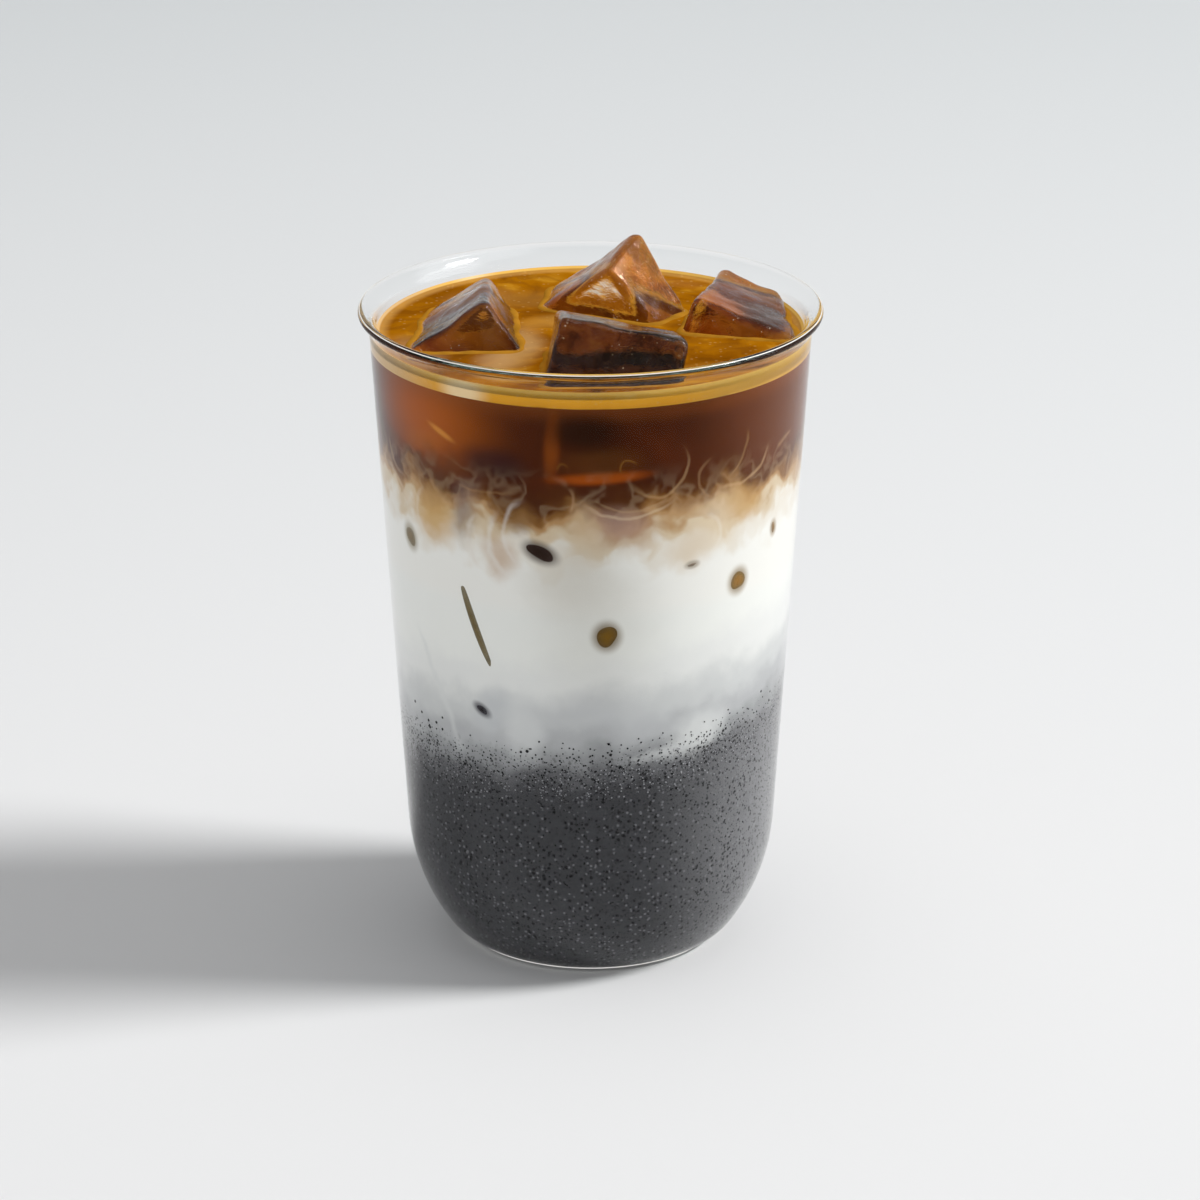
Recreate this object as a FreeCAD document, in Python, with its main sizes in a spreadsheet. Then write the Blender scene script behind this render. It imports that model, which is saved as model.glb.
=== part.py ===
"""Layered iced coffee in a flared glass tumbler, in millimetres.

The origin is the centre of the foot's underside, +Z is up along the glass's axis and -Y faces the
drinker. The pieces are the blown glass, four drink layers from black sesame up to the crema, and
four ice blocks that stand out of the top of the drink. Each layer fills the glass between its own
two levels and is cut round the ice.
"""

import FreeCAD
import Part
import Sketcher
import math
import os
from FreeCAD import Vector

# ---------------------------------------------------------------- driving dimensions, mm and degrees
SIZES = {
    # the glass: overall size, wall, the flared lip, the rounded foot and the hollow under it
    "glass_height": 122.5,
    "lip_radius": 42.5,
    "lip_height": 4.0,
    "neck_radius": 40.5,
    "wall_taper": 3.56,
    "wall_thick": 1.5,
    "base_thick": 2.4,
    "shoulder_height": 23.0,
    "belly_radius": 38.0,
    "foot_radius": 9.0,
    "punt_radius": 15.0,
    "punt_depth": 0.7,
    # the drink: its level below the lip, how deep each layer is, and the rim that climbs the glass
    "headroom": 4.7,
    "crema_depth": 2.5,
    "coffee_depth": 19.3,
    "milk_depth": 47.0,
    "meniscus_height": 0.6,
    "meniscus_width": 1.5,
    # what the ice blocks share
    "ice_edge": 1.5,
    "ice_wall_gap": 0.6,
}

# Each ice block is a slightly drafted block with one side drawn in. inset is from the inside of the
# wall, at the drink's level, in to the block's centre. bearing turns from +X towards +Y, and rise is
# the centre's height above the drink's level.
ICE_FIELDS = ("width", "depth", "height", "draw_left", "draw_right", "draft",
              "inset", "bearing", "rise", "yaw", "pitch", "roll")
ICE_BLOCKS = {
    "left": (19.5, 28.5, 18.0, 0.8, 0.5, 1.5, 17.6, -178.7, -4.5, -5.0, 55.0, -7.5),
    "back": (14.5, 18.5, 25.0, 0.6, 4.0, 1.2, 23.7, 76.8, -1.6, 64.0, -16.0, -126.0),
    "right": (21.5, 25.0, 14.0, 0.5, 8.0, 1.5, 9.6, 13.0, -3.6, -14.0, 20.0, -3.5),
    "front": (24.5, 19.5, 17.0, 0.6, 1.0, 1.5, 16.0, -80.5, -0.7, 2.0, 12.0, -13.0),
}

# All that the sheet holds, by alias.
SHEET = dict(SIZES)
for block, values in ICE_BLOCKS.items():
    SHEET.update({f"{block}_{field}": value for field, value in zip(ICE_FIELDS, values)})

# The drink's level above the table, and the layers under it from the top down. The lowest one, the
# sesame, fills what is left of the glass.
LEVEL = "({glass_height} - {headroom})"
LAYERS = ("crema", "coffee", "milk", "sesame")
START, END, CENTRE = 1, 2, 3      # the Sketcher's numbers for a curve's points
ORIGIN, VERTICAL_AXIS = -1, -2    # the Sketcher's numbers for its own root point and axis
SPARE = 20.0                      # how far cutting tools reach past what they cut


# ---------------------------------------------------------------- the sheet
def write_sheet(doc):
    """The spreadsheet that holds every size, each under its own alias."""
    sheet = doc.addObject("Spreadsheet::Sheet", "Sizes")
    for row, (alias, value) in enumerate(SHEET.items(), start=1):
        sheet.set(f"A{row}", alias)
        sheet.set(f"B{row}", str(value))
        sheet.setAlias(f"B{row}", alias)
    doc.recompute()


def bind(item, target, formula):
    """Ties one property or constraint to the sheet. {name} in the formula stands for a size."""
    for alias in SHEET:
        formula = formula.replace("{" + alias + "}", f"Sizes.{alias}")
    item.setExpression(target, formula)


# ---------------------------------------------------------------- sketching
class Outline:
    """A closed sketch drawn curve by curve, each one joined to the one before."""

    def __init__(self, body, name, plane):
        self.sketch = body.newObject("Sketcher::SketchObject", name)
        self.sketch.AttachmentSupport = (origin_plane(body, plane), "")
        self.sketch.MapMode = "FlatFace"

    def line(self, start, end):
        return self.sketch.addGeometry(Part.LineSegment(Vector(*start, 0), Vector(*end, 0)), False)

    def arc(self, centre, start, end):
        """An anticlockwise arc from start to end."""
        radius = math.dist(centre, start)
        first = math.atan2(start[1] - centre[1], start[0] - centre[0])
        last = math.atan2(end[1] - centre[1], end[0] - centre[0])
        circle = Part.Circle(Vector(*centre, 0), Vector(0, 0, 1), radius)
        return self.sketch.addGeometry(Part.ArcOfCircle(circle, first, last), False)

    def rule(self, kind, *where):
        return self.sketch.addConstraint(Sketcher.Constraint(kind, *where))

    def size(self, kind, where, value, formula):
        """A dimension with a starting value, tied to the sheet."""
        index = self.sketch.addConstraint(Sketcher.Constraint(kind, *where, value))
        name = f"size{index}"
        self.sketch.renameConstraint(index, name)
        bind(self.sketch, f"Constraints.{name}", formula)


def origin_plane(body, role):
    return next(f for f in body.Origin.OriginFeatures if f.Role == role)


def along(centre, toward, distance):
    """The point that far from centre on the way to toward."""
    share = distance / math.dist(centre, toward)
    return (centre[0] + (toward[0] - centre[0]) * share, centre[1] + (toward[1] - centre[1]) * share)


class Wall:
    """Where the glass's wall runs, as (radius, height) points: starting places for the sketches."""

    def __init__(self, size):
        taper = math.radians(size["wall_taper"])
        thick = size["wall_thick"]
        outward = (math.cos(taper), -math.sin(taper))

        def shifted(point, distance):
            return (point[0] + outward[0] * distance, point[1] + outward[1] * distance)

        self.neck = (size["neck_radius"], size["glass_height"] - size["lip_height"])
        drop = self.neck[1] - size["shoulder_height"]
        self.shoulder = (self.neck[0] - drop * math.tan(taper), size["shoulder_height"])
        self.neck_in = shifted(self.neck, -thick)
        self.shoulder_in = shifted(self.shoulder, -thick)
        self.belly_centre = shifted(self.shoulder, -size["belly_radius"])
        self.bead_centre = (size["lip_radius"] - thick / 2, size["glass_height"] - thick / 2)
        middle = shifted(self.neck, -thick / 2)
        reach = (self.bead_centre[0] - middle[0], self.bead_centre[1] - middle[1])
        lean = reach[0] * outward[0] + reach[1] * outward[1]
        self.flare = (reach[0] ** 2 + reach[1] ** 2) / (2 * lean)
        self.flare_centre = shifted(middle, self.flare)
        self.foot_centre, self.join = self.foot(size["foot_radius"], size["belly_radius"], 0)
        self.foot_centre_in, self.join_in = self.foot(
            size["foot_radius"] - thick, size["belly_radius"] - thick, size["base_thick"])

    def foot(self, foot, belly, floor):
        """The centre of the foot's arc on that floor, and where it meets the belly's arc."""
        rise = self.belly_centre[1] - floor - foot
        run = math.sqrt((belly - foot) ** 2 - rise ** 2)
        centre = (self.belly_centre[0] + run, floor + foot)
        return centre, along(self.belly_centre, centre, belly)


# ---------------------------------------------------------------- the glass
def make_glass(doc, size):
    """The tumbler: one profile turned round the axis, then a shallow hollow under its base."""
    wall = Wall(size)
    body = doc.addObject("PartDesign::Body", "Glass")
    draw = Outline(body, "GlassProfile", "XZ_Plane")
    half = size["wall_thick"] / 2
    lip_out = along(wall.flare_centre, wall.bead_centre, wall.flare - half)
    lip_in = along(wall.flare_centre, wall.bead_centre, wall.flare + half)
    floor = size["base_thick"]

    base = draw.line((0, 0), (wall.foot_centre[0], 0))
    foot = draw.arc(wall.foot_centre, (wall.foot_centre[0], 0), wall.join)
    belly = draw.arc(wall.belly_centre, wall.join, wall.shoulder)
    side = draw.line(wall.shoulder, wall.neck)
    flare = draw.arc(wall.flare_centre, lip_out, wall.neck)
    bead = draw.arc(wall.bead_centre, lip_out, lip_in)
    flare_in = draw.arc(wall.flare_centre, lip_in, wall.neck_in)
    side_in = draw.line(wall.neck_in, wall.shoulder_in)
    belly_in = draw.arc(wall.belly_centre, wall.join_in, wall.shoulder_in)
    foot_in = draw.arc(wall.foot_centre_in, (wall.foot_centre_in[0], floor), wall.join_in)
    floor_in = draw.line((wall.foot_centre_in[0], floor), (0, floor))
    axis = draw.line((0, floor), (0, 0))

    for first, at, then, its in (
        (base, END, foot, START),
        (foot, END, belly, START),
        (belly, END, side, START),
        (side, END, flare, END),
        (flare, START, bead, START),
        (bead, END, flare_in, START),
        (flare_in, END, side_in, START),
        (side_in, END, belly_in, END),
        (belly_in, START, foot_in, END),
        (foot_in, START, floor_in, START),
    ):
        draw.rule("Tangent", first, at, then, its)
    draw.rule("Coincident", floor_in, END, axis, START)
    draw.rule("Coincident", axis, END, base, START)
    draw.rule("Coincident", base, START, ORIGIN, START)
    draw.rule("Horizontal", base)
    draw.rule("Horizontal", floor_in)
    draw.rule("Vertical", axis)
    draw.rule("Coincident", belly_in, CENTRE, belly, CENTRE)
    draw.rule("Coincident", flare_in, CENTRE, flare, CENTRE)

    draw.size("Radius", (foot,), size["foot_radius"], "{foot_radius} * 1mm")
    draw.size("Radius", (foot_in,), size["foot_radius"] - size["wall_thick"],
              "({foot_radius} - {wall_thick}) * 1mm")
    draw.size("Radius", (belly,), size["belly_radius"], "{belly_radius} * 1mm")
    draw.size("Radius", (belly_in,), size["belly_radius"] - size["wall_thick"],
              "({belly_radius} - {wall_thick}) * 1mm")
    draw.size("Radius", (bead,), half, "{wall_thick} / 2 * 1mm")
    draw.size("DistanceY", (ORIGIN, START, side, START), wall.shoulder[1],
              "{shoulder_height} * 1mm")
    draw.size("DistanceX", (ORIGIN, START, side, END), wall.neck[0], "{neck_radius} * 1mm")
    draw.size("DistanceY", (ORIGIN, START, side, END), wall.neck[1],
              "({glass_height} - {lip_height}) * 1mm")
    draw.size("Angle", (side,), math.radians(90 - size["wall_taper"]),
              "(90 - {wall_taper}) * 1deg")
    draw.size("DistanceY", (axis, END, axis, START), floor, "{base_thick} * 1mm")
    draw.size("DistanceX", (ORIGIN, START, bead, CENTRE), wall.bead_centre[0],
              "({lip_radius} - {wall_thick} / 2) * 1mm")
    draw.size("DistanceY", (ORIGIN, START, bead, CENTRE), wall.bead_centre[1],
              "({glass_height} - {wall_thick} / 2) * 1mm")
    turn(body, "PartDesign::Revolution", "GlassWall", draw.sketch)
    cut_punt(body, size)
    body.Label = "glass"
    return body


def cut_punt(body, size):
    """The shallow dome pressed up into the underside, inside the ring that the glass stands on."""
    edge, depth = size["punt_radius"], size["punt_depth"]
    draw = Outline(body, "PuntProfile", "XZ_Plane")
    radius = (edge ** 2 + depth ** 2) / (2 * depth)
    base = draw.line((0, 0), (edge, 0))
    dome = draw.arc((0, depth - radius), (edge, 0), (0, depth))
    axis = draw.line((0, depth), (0, 0))
    draw.rule("Coincident", base, END, dome, START)
    draw.rule("Coincident", dome, END, axis, START)
    draw.rule("Coincident", axis, END, base, START)
    draw.rule("Coincident", base, START, ORIGIN, START)
    draw.rule("Horizontal", base)
    draw.rule("Vertical", axis)
    draw.rule("PointOnObject", dome, CENTRE, VERTICAL_AXIS)
    draw.size("DistanceX", (ORIGIN, START, base, END), edge, "{punt_radius} * 1mm")
    draw.size("DistanceY", (ORIGIN, START, axis, START), depth, "{punt_depth} * 1mm")
    turn(body, "PartDesign::Groove", "Punt", draw.sketch)


def turn(body, kind, name, sketch):
    """Turns a sketch all the way round the glass's axis."""
    feature = body.newObject(kind, name)
    feature.Profile = sketch
    feature.ReferenceAxis = (sketch, ["V_Axis"])
    feature.Angle = 360.0
    return feature


# ---------------------------------------------------------------- the drink
WALL_INSIDE = (
    "{neck_radius} - {wall_thick} / cos({wall_taper} * 1deg)"
    " - ({glass_height} - {lip_height} - (HEIGHT)) * tan({wall_taper} * 1deg)"
)


def inside_at(height):
    """A formula for the radius of the inside of the straight wall at that height."""
    return WALL_INSIDE.replace("HEIGHT", height)


def make_drink(doc, size):
    """All that fills the glass, in one: the inside of the wall up to the level and its meniscus."""
    wall = Wall(size)
    body = doc.addObject("PartDesign::Body", "Drink")
    draw = Outline(body, "DrinkProfile", "XZ_Plane")
    floor, level = size["base_thick"], size["glass_height"] - size["headroom"]
    climb = level + size["meniscus_height"]
    taper = math.tan(math.radians(size["wall_taper"]))
    edge = wall.neck_in[0] - (wall.neck_in[1] - climb) * taper
    calm = edge - size["meniscus_width"]
    bend = (size["meniscus_width"] ** 2 + size["meniscus_height"] ** 2) / (2 * size["meniscus_height"])

    floor_in = draw.line((0, floor), (wall.foot_centre_in[0], floor))
    foot_in = draw.arc(wall.foot_centre_in, (wall.foot_centre_in[0], floor), wall.join_in)
    belly_in = draw.arc(wall.belly_centre, wall.join_in, wall.shoulder_in)
    side_in = draw.line(wall.shoulder_in, (edge, climb))
    meniscus = draw.arc((calm, level + bend), (calm, level), (edge, climb))
    top = draw.line((calm, level), (0, level))
    axis = draw.line((0, level), (0, floor))

    draw.rule("Tangent", floor_in, END, foot_in, START)
    draw.rule("Tangent", foot_in, END, belly_in, START)
    draw.rule("Tangent", belly_in, END, side_in, START)
    draw.rule("Coincident", side_in, END, meniscus, END)
    draw.rule("Tangent", meniscus, START, top, START)
    draw.rule("Coincident", top, END, axis, START)
    draw.rule("Coincident", axis, END, floor_in, START)
    draw.rule("PointOnObject", axis, END, VERTICAL_AXIS)
    draw.rule("Vertical", axis)
    draw.rule("Horizontal", top)
    draw.rule("Horizontal", floor_in)

    thin = size["wall_thick"]
    draw.size("Radius", (foot_in,), size["foot_radius"] - thin, "({foot_radius} - {wall_thick}) * 1mm")
    draw.size("Radius", (belly_in,), size["belly_radius"] - thin,
              "({belly_radius} - {wall_thick}) * 1mm")
    draw.size("DistanceY", (ORIGIN, START, side_in, START), wall.shoulder_in[1],
              "({shoulder_height} + {wall_thick} * sin({wall_taper} * 1deg)) * 1mm")
    draw.size("Angle", (side_in,), math.radians(90 - size["wall_taper"]),
              "(90 - {wall_taper}) * 1deg")
    draw.size("DistanceX", (ORIGIN, START, side_in, END), edge,
              "(" + inside_at(LEVEL + " + {meniscus_height}") + ") * 1mm")
    draw.size("DistanceY", (ORIGIN, START, side_in, END), climb,
              f"({LEVEL} + {{meniscus_height}}) * 1mm")
    draw.size("DistanceX", (top, START, side_in, END), size["meniscus_width"],
              "{meniscus_width} * 1mm")
    draw.size("DistanceY", (ORIGIN, START, top, START), level, f"{LEVEL} * 1mm")
    draw.size("DistanceY", (ORIGIN, START, axis, END), floor, "{base_thick} * 1mm")
    turn(body, "PartDesign::Revolution", "DrinkFill", draw.sketch)
    return body


def make_layers(doc, drink, ice):
    """Each layer is the drink from its own floor up to the layer above, cut round the ice."""
    top = f"({LEVEL} + {SPARE})"
    floor = LEVEL
    layers = []
    for name in LAYERS:
        floor = "0" if name == LAYERS[-1] else f"({floor} - {{{name}_depth}})"
        slab = doc.addObject("Part::Cylinder", name.title() + "Slab")
        bind(slab, "Radius", f"({{lip_radius}} + {SPARE}) * 1mm")
        bind(slab, "Height", f"({top} - {floor}) * 1mm")
        bind(slab, "Placement.Base.z", f"{floor} * 1mm")
        filled = boolean(doc, "Part::Common", name.title() + "Filled", drink, slab)
        layer = boolean(doc, "Part::Cut", name.title(), filled, ice)
        layer.Label = name
        layers.append(layer)
        top = floor
    return layers


def boolean(doc, kind, name, base, tool):
    feature = doc.addObject(kind, name)
    feature.Base = base
    feature.Tool = tool
    return feature


# ---------------------------------------------------------------- the ice
def make_ice_room(doc):
    """The space that ice can take: a cone just clear of the inside of the wall, open at the top."""
    room = doc.addObject("Part::Cone", "IceRoom")
    floor, top = "{shoulder_height}", f"{{glass_height}} + {SPARE}"
    bind(room, "Radius1", f"({inside_at(floor)} - {{ice_wall_gap}}) * 1mm")
    bind(room, "Radius2", f"({inside_at(top)} - {{ice_wall_gap}}) * 1mm")
    bind(room, "Height", f"({top} - {floor}) * 1mm")
    bind(room, "Placement.Base.z", f"{floor} * 1mm")
    return room


def make_ice_block(doc, name, size):
    """A block with one side drawn in, a slight draft and melted edges, turned to how it floats."""
    def own(field):
        return "{" + f"{name}_{field}" + "}"

    body = doc.addObject("PartDesign::Body", f"Ice{name.title()}Block")
    width, depth = size[f"{name}_width"], size[f"{name}_depth"]
    draw = Outline(body, f"Ice{name.title()}Plan", "XY_Plane")
    near_left, near_right = (-width / 2, -depth / 2), (width / 2, -depth / 2)
    far_left = (-width / 2 + size[f"{name}_draw_left"], depth / 2)
    far_right = (width / 2 - size[f"{name}_draw_right"], depth / 2)
    corners = (near_left, near_right, far_right, far_left)
    sides = [draw.line(a, b) for a, b in zip(corners, corners[1:] + corners[:1])]
    for first, then in zip(sides, sides[1:] + sides[:1]):
        draw.rule("Coincident", first, END, then, START)
    near, _, far, _ = sides
    draw.rule("Horizontal", near)
    draw.rule("Horizontal", far)
    draw.size("DistanceX", (near, START, ORIGIN, START), width / 2, f"{own('width')} / 2 * 1mm")
    draw.size("DistanceY", (near, START, ORIGIN, START), depth / 2, f"{own('depth')} / 2 * 1mm")
    draw.size("DistanceX", (near, START, near, END), width, f"{own('width')} * 1mm")
    draw.size("DistanceY", (near, END, far, START), depth, f"{own('depth')} * 1mm")
    draw.size("DistanceX", (near, START, far, END), far_left[0] - near_left[0],
              f"{own('draw_left')} * 1mm")
    draw.size("DistanceX", (far, START, near, END), near_right[0] - far_right[0],
              f"{own('draw_right')} * 1mm")
    bind(draw.sketch, "AttachmentOffset.Base.z", f"-{own('height')} / 2 * 1mm")

    pad = body.newObject("PartDesign::Pad", f"Ice{name.title()}Pad")
    pad.Profile = draw.sketch
    bind(pad, "Length", f"{own('height')} * 1mm")
    bind(pad, "TaperAngle", f"-{own('draft')} * 1deg")
    doc.recompute()
    melt = body.newObject("PartDesign::Fillet", f"Ice{name.title()}Melt")
    melt.Base = (pad, [f"Edge{i + 1}" for i in range(len(pad.Shape.Edges))])
    bind(melt, "Radius", "{ice_edge} * 1mm")

    out = f"({inside_at(LEVEL)} - {own('inset')})"
    bind(body, "Placement.Base.x", f"{out} * cos({own('bearing')} * 1deg) * 1mm")
    bind(body, "Placement.Base.y", f"{out} * sin({own('bearing')} * 1deg) * 1mm")
    bind(body, "Placement.Base.z", f"({LEVEL} + {own('rise')}) * 1mm")
    bind(body, "Placement.Rotation",
         f"create(<<rotation>>; {own('yaw')}; {own('pitch')}; {own('roll')})")
    return body


def make_ice(doc, size):
    """The four blocks, each kept inside the glass and clear of those made before it."""
    room = make_ice_room(doc)
    made = []
    for name in ICE_BLOCKS:
        block = make_ice_block(doc, name, size)
        piece = boolean(doc, "Part::Common", f"Ice{name.title()}", block, room)
        if made:
            others = doc.addObject("Part::Compound", f"IceBefore{name.title()}")
            others.Links = made
            piece = boolean(doc, "Part::Cut", f"Ice{name.title()}Clear", piece, others)
        piece.Label = f"ice_{name}"
        made = made + [piece]
    together = doc.addObject("Part::Compound", "IceTogether")
    together.Links = made
    return made, together


# ---------------------------------------------------------------- building and writing
def check(doc, pieces):
    """Stops the build if any feature failed or a piece isn't a sound solid."""
    broken = [o.Name for o in doc.Objects if "Invalid" in o.State or "Error" in o.State]
    if broken:
        raise RuntimeError(f"features failed: {broken}")
    for piece in pieces:
        if piece.Shape.isNull() or not piece.Shape.isValid() or not piece.Shape.Solids:
            raise RuntimeError(f"{piece.Label} is not a valid solid")


def build():
    """The whole document, and the pieces that are written out."""
    doc = FreeCAD.newDocument("IcedCoffee")
    write_sheet(doc)
    glass = make_glass(doc, SHEET)
    blocks, together = make_ice(doc, SHEET)
    layers = make_layers(doc, make_drink(doc, SHEET), together)
    pieces = [glass, *layers, *blocks]
    doc.recompute()
    check(doc, pieces)
    return pieces


def write_parts(pieces):
    os.makedirs("parts", exist_ok=True)
    for piece in pieces:
        piece.Shape.exportStep(os.path.join("parts", f"{piece.Label}.step"))
        box = piece.Shape.BoundBox
        print(f"{piece.Label:10s} {piece.Shape.Volume:10.1f} mm3  solids {len(piece.Shape.Solids)}"
              f"  z {box.ZMin:.2f} to {box.ZMax:.2f}")


write_parts(build())
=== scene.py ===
"""Looks for a layered iced coffee in its flared tumbler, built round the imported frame.

Everything is in metres, with +Z up the glass's axis and -Y towards the drinker. The glass and the four
drink layers are turned shapes, the ice is carved from the frame's own blocks, the sunk ice and the foam
are meshed in code, and the grains and bubbles are scattered by Geometry Nodes.
"""

import math

import bmesh
import bpy
import numpy as np
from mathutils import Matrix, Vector, noise


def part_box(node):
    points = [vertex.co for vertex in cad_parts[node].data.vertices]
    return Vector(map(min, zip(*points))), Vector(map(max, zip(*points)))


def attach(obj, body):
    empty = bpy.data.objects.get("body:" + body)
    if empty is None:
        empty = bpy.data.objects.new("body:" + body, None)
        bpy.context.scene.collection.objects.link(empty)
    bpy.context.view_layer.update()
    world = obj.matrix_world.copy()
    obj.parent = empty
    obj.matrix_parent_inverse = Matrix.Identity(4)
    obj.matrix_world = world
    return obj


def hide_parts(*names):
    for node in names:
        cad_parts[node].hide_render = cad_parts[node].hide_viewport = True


MM = 0.001

# ---------------------------------------------------------------- the tumbler's own sizes
WALL = 1.5 * MM
TAPER = math.radians(3.56)
NECK_RADIUS = 40.5 * MM
LIP_HEIGHT = 4.0 * MM
SHOULDER_HEIGHT = 23.0 * MM
BELLY_RADIUS = 38.0 * MM
FOOT_RADIUS = 9.0 * MM
PUNT_RADIUS = 15.0 * MM
PUNT_DEPTH = 0.7 * MM
DRINK_LEVEL = 117.8 * MM  # the calm top of the crema, inside its raised edge
BITE = 0.15 * MM          # how far the drink reaches into the wall, so that no air shows between
TURNS = 256               # facets round every turned shape
WALL_ARC = 38.5           # a middling radius of the drink, in mm, that turns angles into arc lengths
DEGREE = math.radians(1) * WALL_ARC
ON_AXIS = 1e-7            # a turned point nearer to the axis than this is one point
LIP_BAND = 5.2 * MM       # how far down the lip's own glass reaches
SLIVER = 3.0              # a sunk piece of ice with a half height over this, in mm, is a long sliver
ROUND = [2 * math.pi * j / 8 for j in range(8)]  # the angles round a thread or a bead

# ---------------------------------------------------------------- camera
LOOK_AT = (1.72 * MM, 0.0, 65.0 * MM)
LOOK_FROM_DISTANCE = 0.9
LOOK_DOWN = math.radians(20.4)
LENS = 144.66

# ---------------------------------------------------------------- light
# The floor's tone near the glass and far off; the darker far tone is painted shade where the light falls
# off.
FLOOR_NEAR = (0.785, 0.785, 0.785, 1)
FLOOR_DISTANT_SHADED = (0.625, 0.645, 0.65, 1)
KEY_DISTANCE = 4.0
KEY_HEIGHT = math.radians(45)
KEY_SIZE = 1.05
KEY_POWER = 143.0
SURROUND = 0.43
SURROUND_LEFT = 0.70
# What shiny and clear things see of the studio: direction, inner and outer cosine, strength.
SOFTBOXES = (
    ((0.94, -0.10, 0.32), 0.965, 0.90, 3.6),
    ((0.65, 0.00, 0.76), 0.95, 0.86, 2.6),
)


# ---------------------------------------------------------------- turned shapes
def arc(centre, radius, start, end, steps):
    """Points on an arc in (radius, height), from one angle to another, in degrees."""
    angles = np.radians(np.linspace(start, end, steps + 1))
    return [(centre[0] + radius * math.cos(a), centre[1] + radius * math.sin(a)) for a in angles]


class Section:
    """The tumbler's half section, from the frame's overall size and the sizes above."""

    def __init__(self, height, lip_radius, floor):
        self.height = height
        self.lip_radius = lip_radius
        self.floor = floor
        self.tilt = math.degrees(TAPER)
        self.neck = (NECK_RADIUS, height - LIP_HEIGHT)
        drop = self.neck[1] - SHOULDER_HEIGHT
        self.shoulder = (NECK_RADIUS - drop * math.tan(TAPER), SHOULDER_HEIGHT)
        self.belly = self.shift(self.shoulder, -BELLY_RADIUS)
        self.bead = (lip_radius - WALL / 2, height - WALL / 2)
        middle = self.shift(self.neck, -WALL / 2)
        reach = (self.bead[0] - middle[0], self.bead[1] - middle[1])
        lean = reach[0] * math.cos(TAPER) - reach[1] * math.sin(TAPER)
        self.flare_radius = (reach[0] ** 2 + reach[1] ** 2) / (2 * lean)
        self.flare = self.shift(middle, self.flare_radius)
        self.flare_end = math.degrees(math.atan2(self.bead[1] - self.flare[1], self.bead[0] - self.flare[0]))

    def shift(self, point, distance):
        """A point moved square to the straight wall, outwards if distance is above zero."""
        return (point[0] + math.cos(TAPER) * distance, point[1] - math.sin(TAPER) * distance)

    def lower(self, inset, floor):
        """From the floor's edge up the foot's and the belly's arcs to the straight wall."""
        foot, belly = FOOT_RADIUS - inset, BELLY_RADIUS - inset
        rise = self.belly[1] - floor - foot
        run = math.sqrt((belly - foot) ** 2 - rise ** 2)
        centre = (self.belly[0] + run, floor + foot)
        join = -math.degrees(math.atan2(rise, run))
        return arc(centre, foot, -90, join, 24)[:-1] + arc(self.belly, belly, join, -self.tilt, 24)

    def inner_radius(self, height):
        """The inside of the wall at that height, above or below the shoulder."""
        start = self.shift(self.shoulder, -WALL)
        if height >= start[1]:
            return start[0] + (height - start[1]) * math.tan(TAPER)
        points = self.lower(WALL, self.floor)
        heights = [p[1] for p in points]
        return float(np.interp(height, heights, [p[0] for p in points]))

    def glass(self):
        """The whole closed wall, from the middle of the underside round to the middle of the floor."""
        dome = (PUNT_RADIUS ** 2 + PUNT_DEPTH ** 2) / (2 * PUNT_DEPTH)
        half = math.degrees(math.asin(PUNT_RADIUS / dome))
        points = arc((0, PUNT_DEPTH - dome), dome, 90, 90 - half, 10)
        points += self.lower(0, 0)
        points += self.line(points[-1], self.neck, 80)
        outer, inner = self.flare_radius - WALL / 2, self.flare_radius + WALL / 2
        start, end = 180 - self.tilt, self.flare_end % 360
        points += arc(self.flare, outer, start, end, 14)[1:]
        points += arc(self.bead, WALL / 2, end - 180, end, 16)[1:]
        points += arc(self.flare, inner, end, start, 14)[1:]
        inside = self.lower(WALL, self.floor)
        points += self.line(points[-1], inside[-1], 80)
        points += inside[-2::-1]
        points.append((0, self.floor))
        return points

    def line(self, start, end, steps):
        """Evenly spaced points after start, up to and with end."""
        shares = np.linspace(0, 1, steps + 1)[1:]
        return [(start[0] + (end[0] - start[0]) * s, start[1] + (end[1] - start[1]) * s) for s in shares]


def turned(radius, angle, height):
    """The point that far from the axis and that high, at an angle to the right of the front."""
    return (radius * math.sin(angle), -radius * math.cos(angle), height)


def stitch(work, rows):
    """Faces from each row of points to the next, all the way round. A row of one point is a tip."""
    for low, high in zip(rows, rows[1:]):
        count = max(len(low), len(high))
        for i in range(count):
            j = (i + 1) % count
            corners = (low[i % len(low)], low[j % len(low)], high[j % len(high)], high[i % len(high)])
            work.faces.new(tuple(dict.fromkeys(corners)))


def lathe(name, points):
    """A closed mesh turned from (radius, height) points that start and end on the axis."""
    work = bmesh.new()
    rows = []
    for radius, height in points:
        count = 1 if radius < ON_AXIS else TURNS
        rows.append([work.verts.new(turned(radius, 2 * math.pi * i / TURNS, height)) for i in range(count)])
    stitch(work, rows)
    bmesh.ops.recalc_face_normals(work, faces=work.faces)
    return finished(name, work)


def new_object(name, data):
    """An object of that name, in the scene."""
    made = bpy.data.objects.new(name, data)
    bpy.context.scene.collection.objects.link(made)
    return made


def finished(name, work, sharp=35):
    """Turns a bmesh into a smooth-shaded object that keeps its sharp edges sharp."""
    mesh = bpy.data.meshes.new(name)
    work.to_mesh(mesh)
    work.free()
    mesh.shade_smooth()
    mesh.set_sharp_from_angle(angle=math.radians(sharp))
    return new_object(name, mesh)


def ring_piece(name, rows, finish):
    """A closed ring, from one row of points for each step round it."""
    work = bmesh.new()
    rows = [[work.verts.new(point) for point in row] for row in rows]
    stitch(work, rows + rows[:1])
    bmesh.ops.recalc_face_normals(work, faces=work.faces)
    piece = finished(name, work, sharp=80)
    piece.data.materials.append(finish)
    return piece


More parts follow.
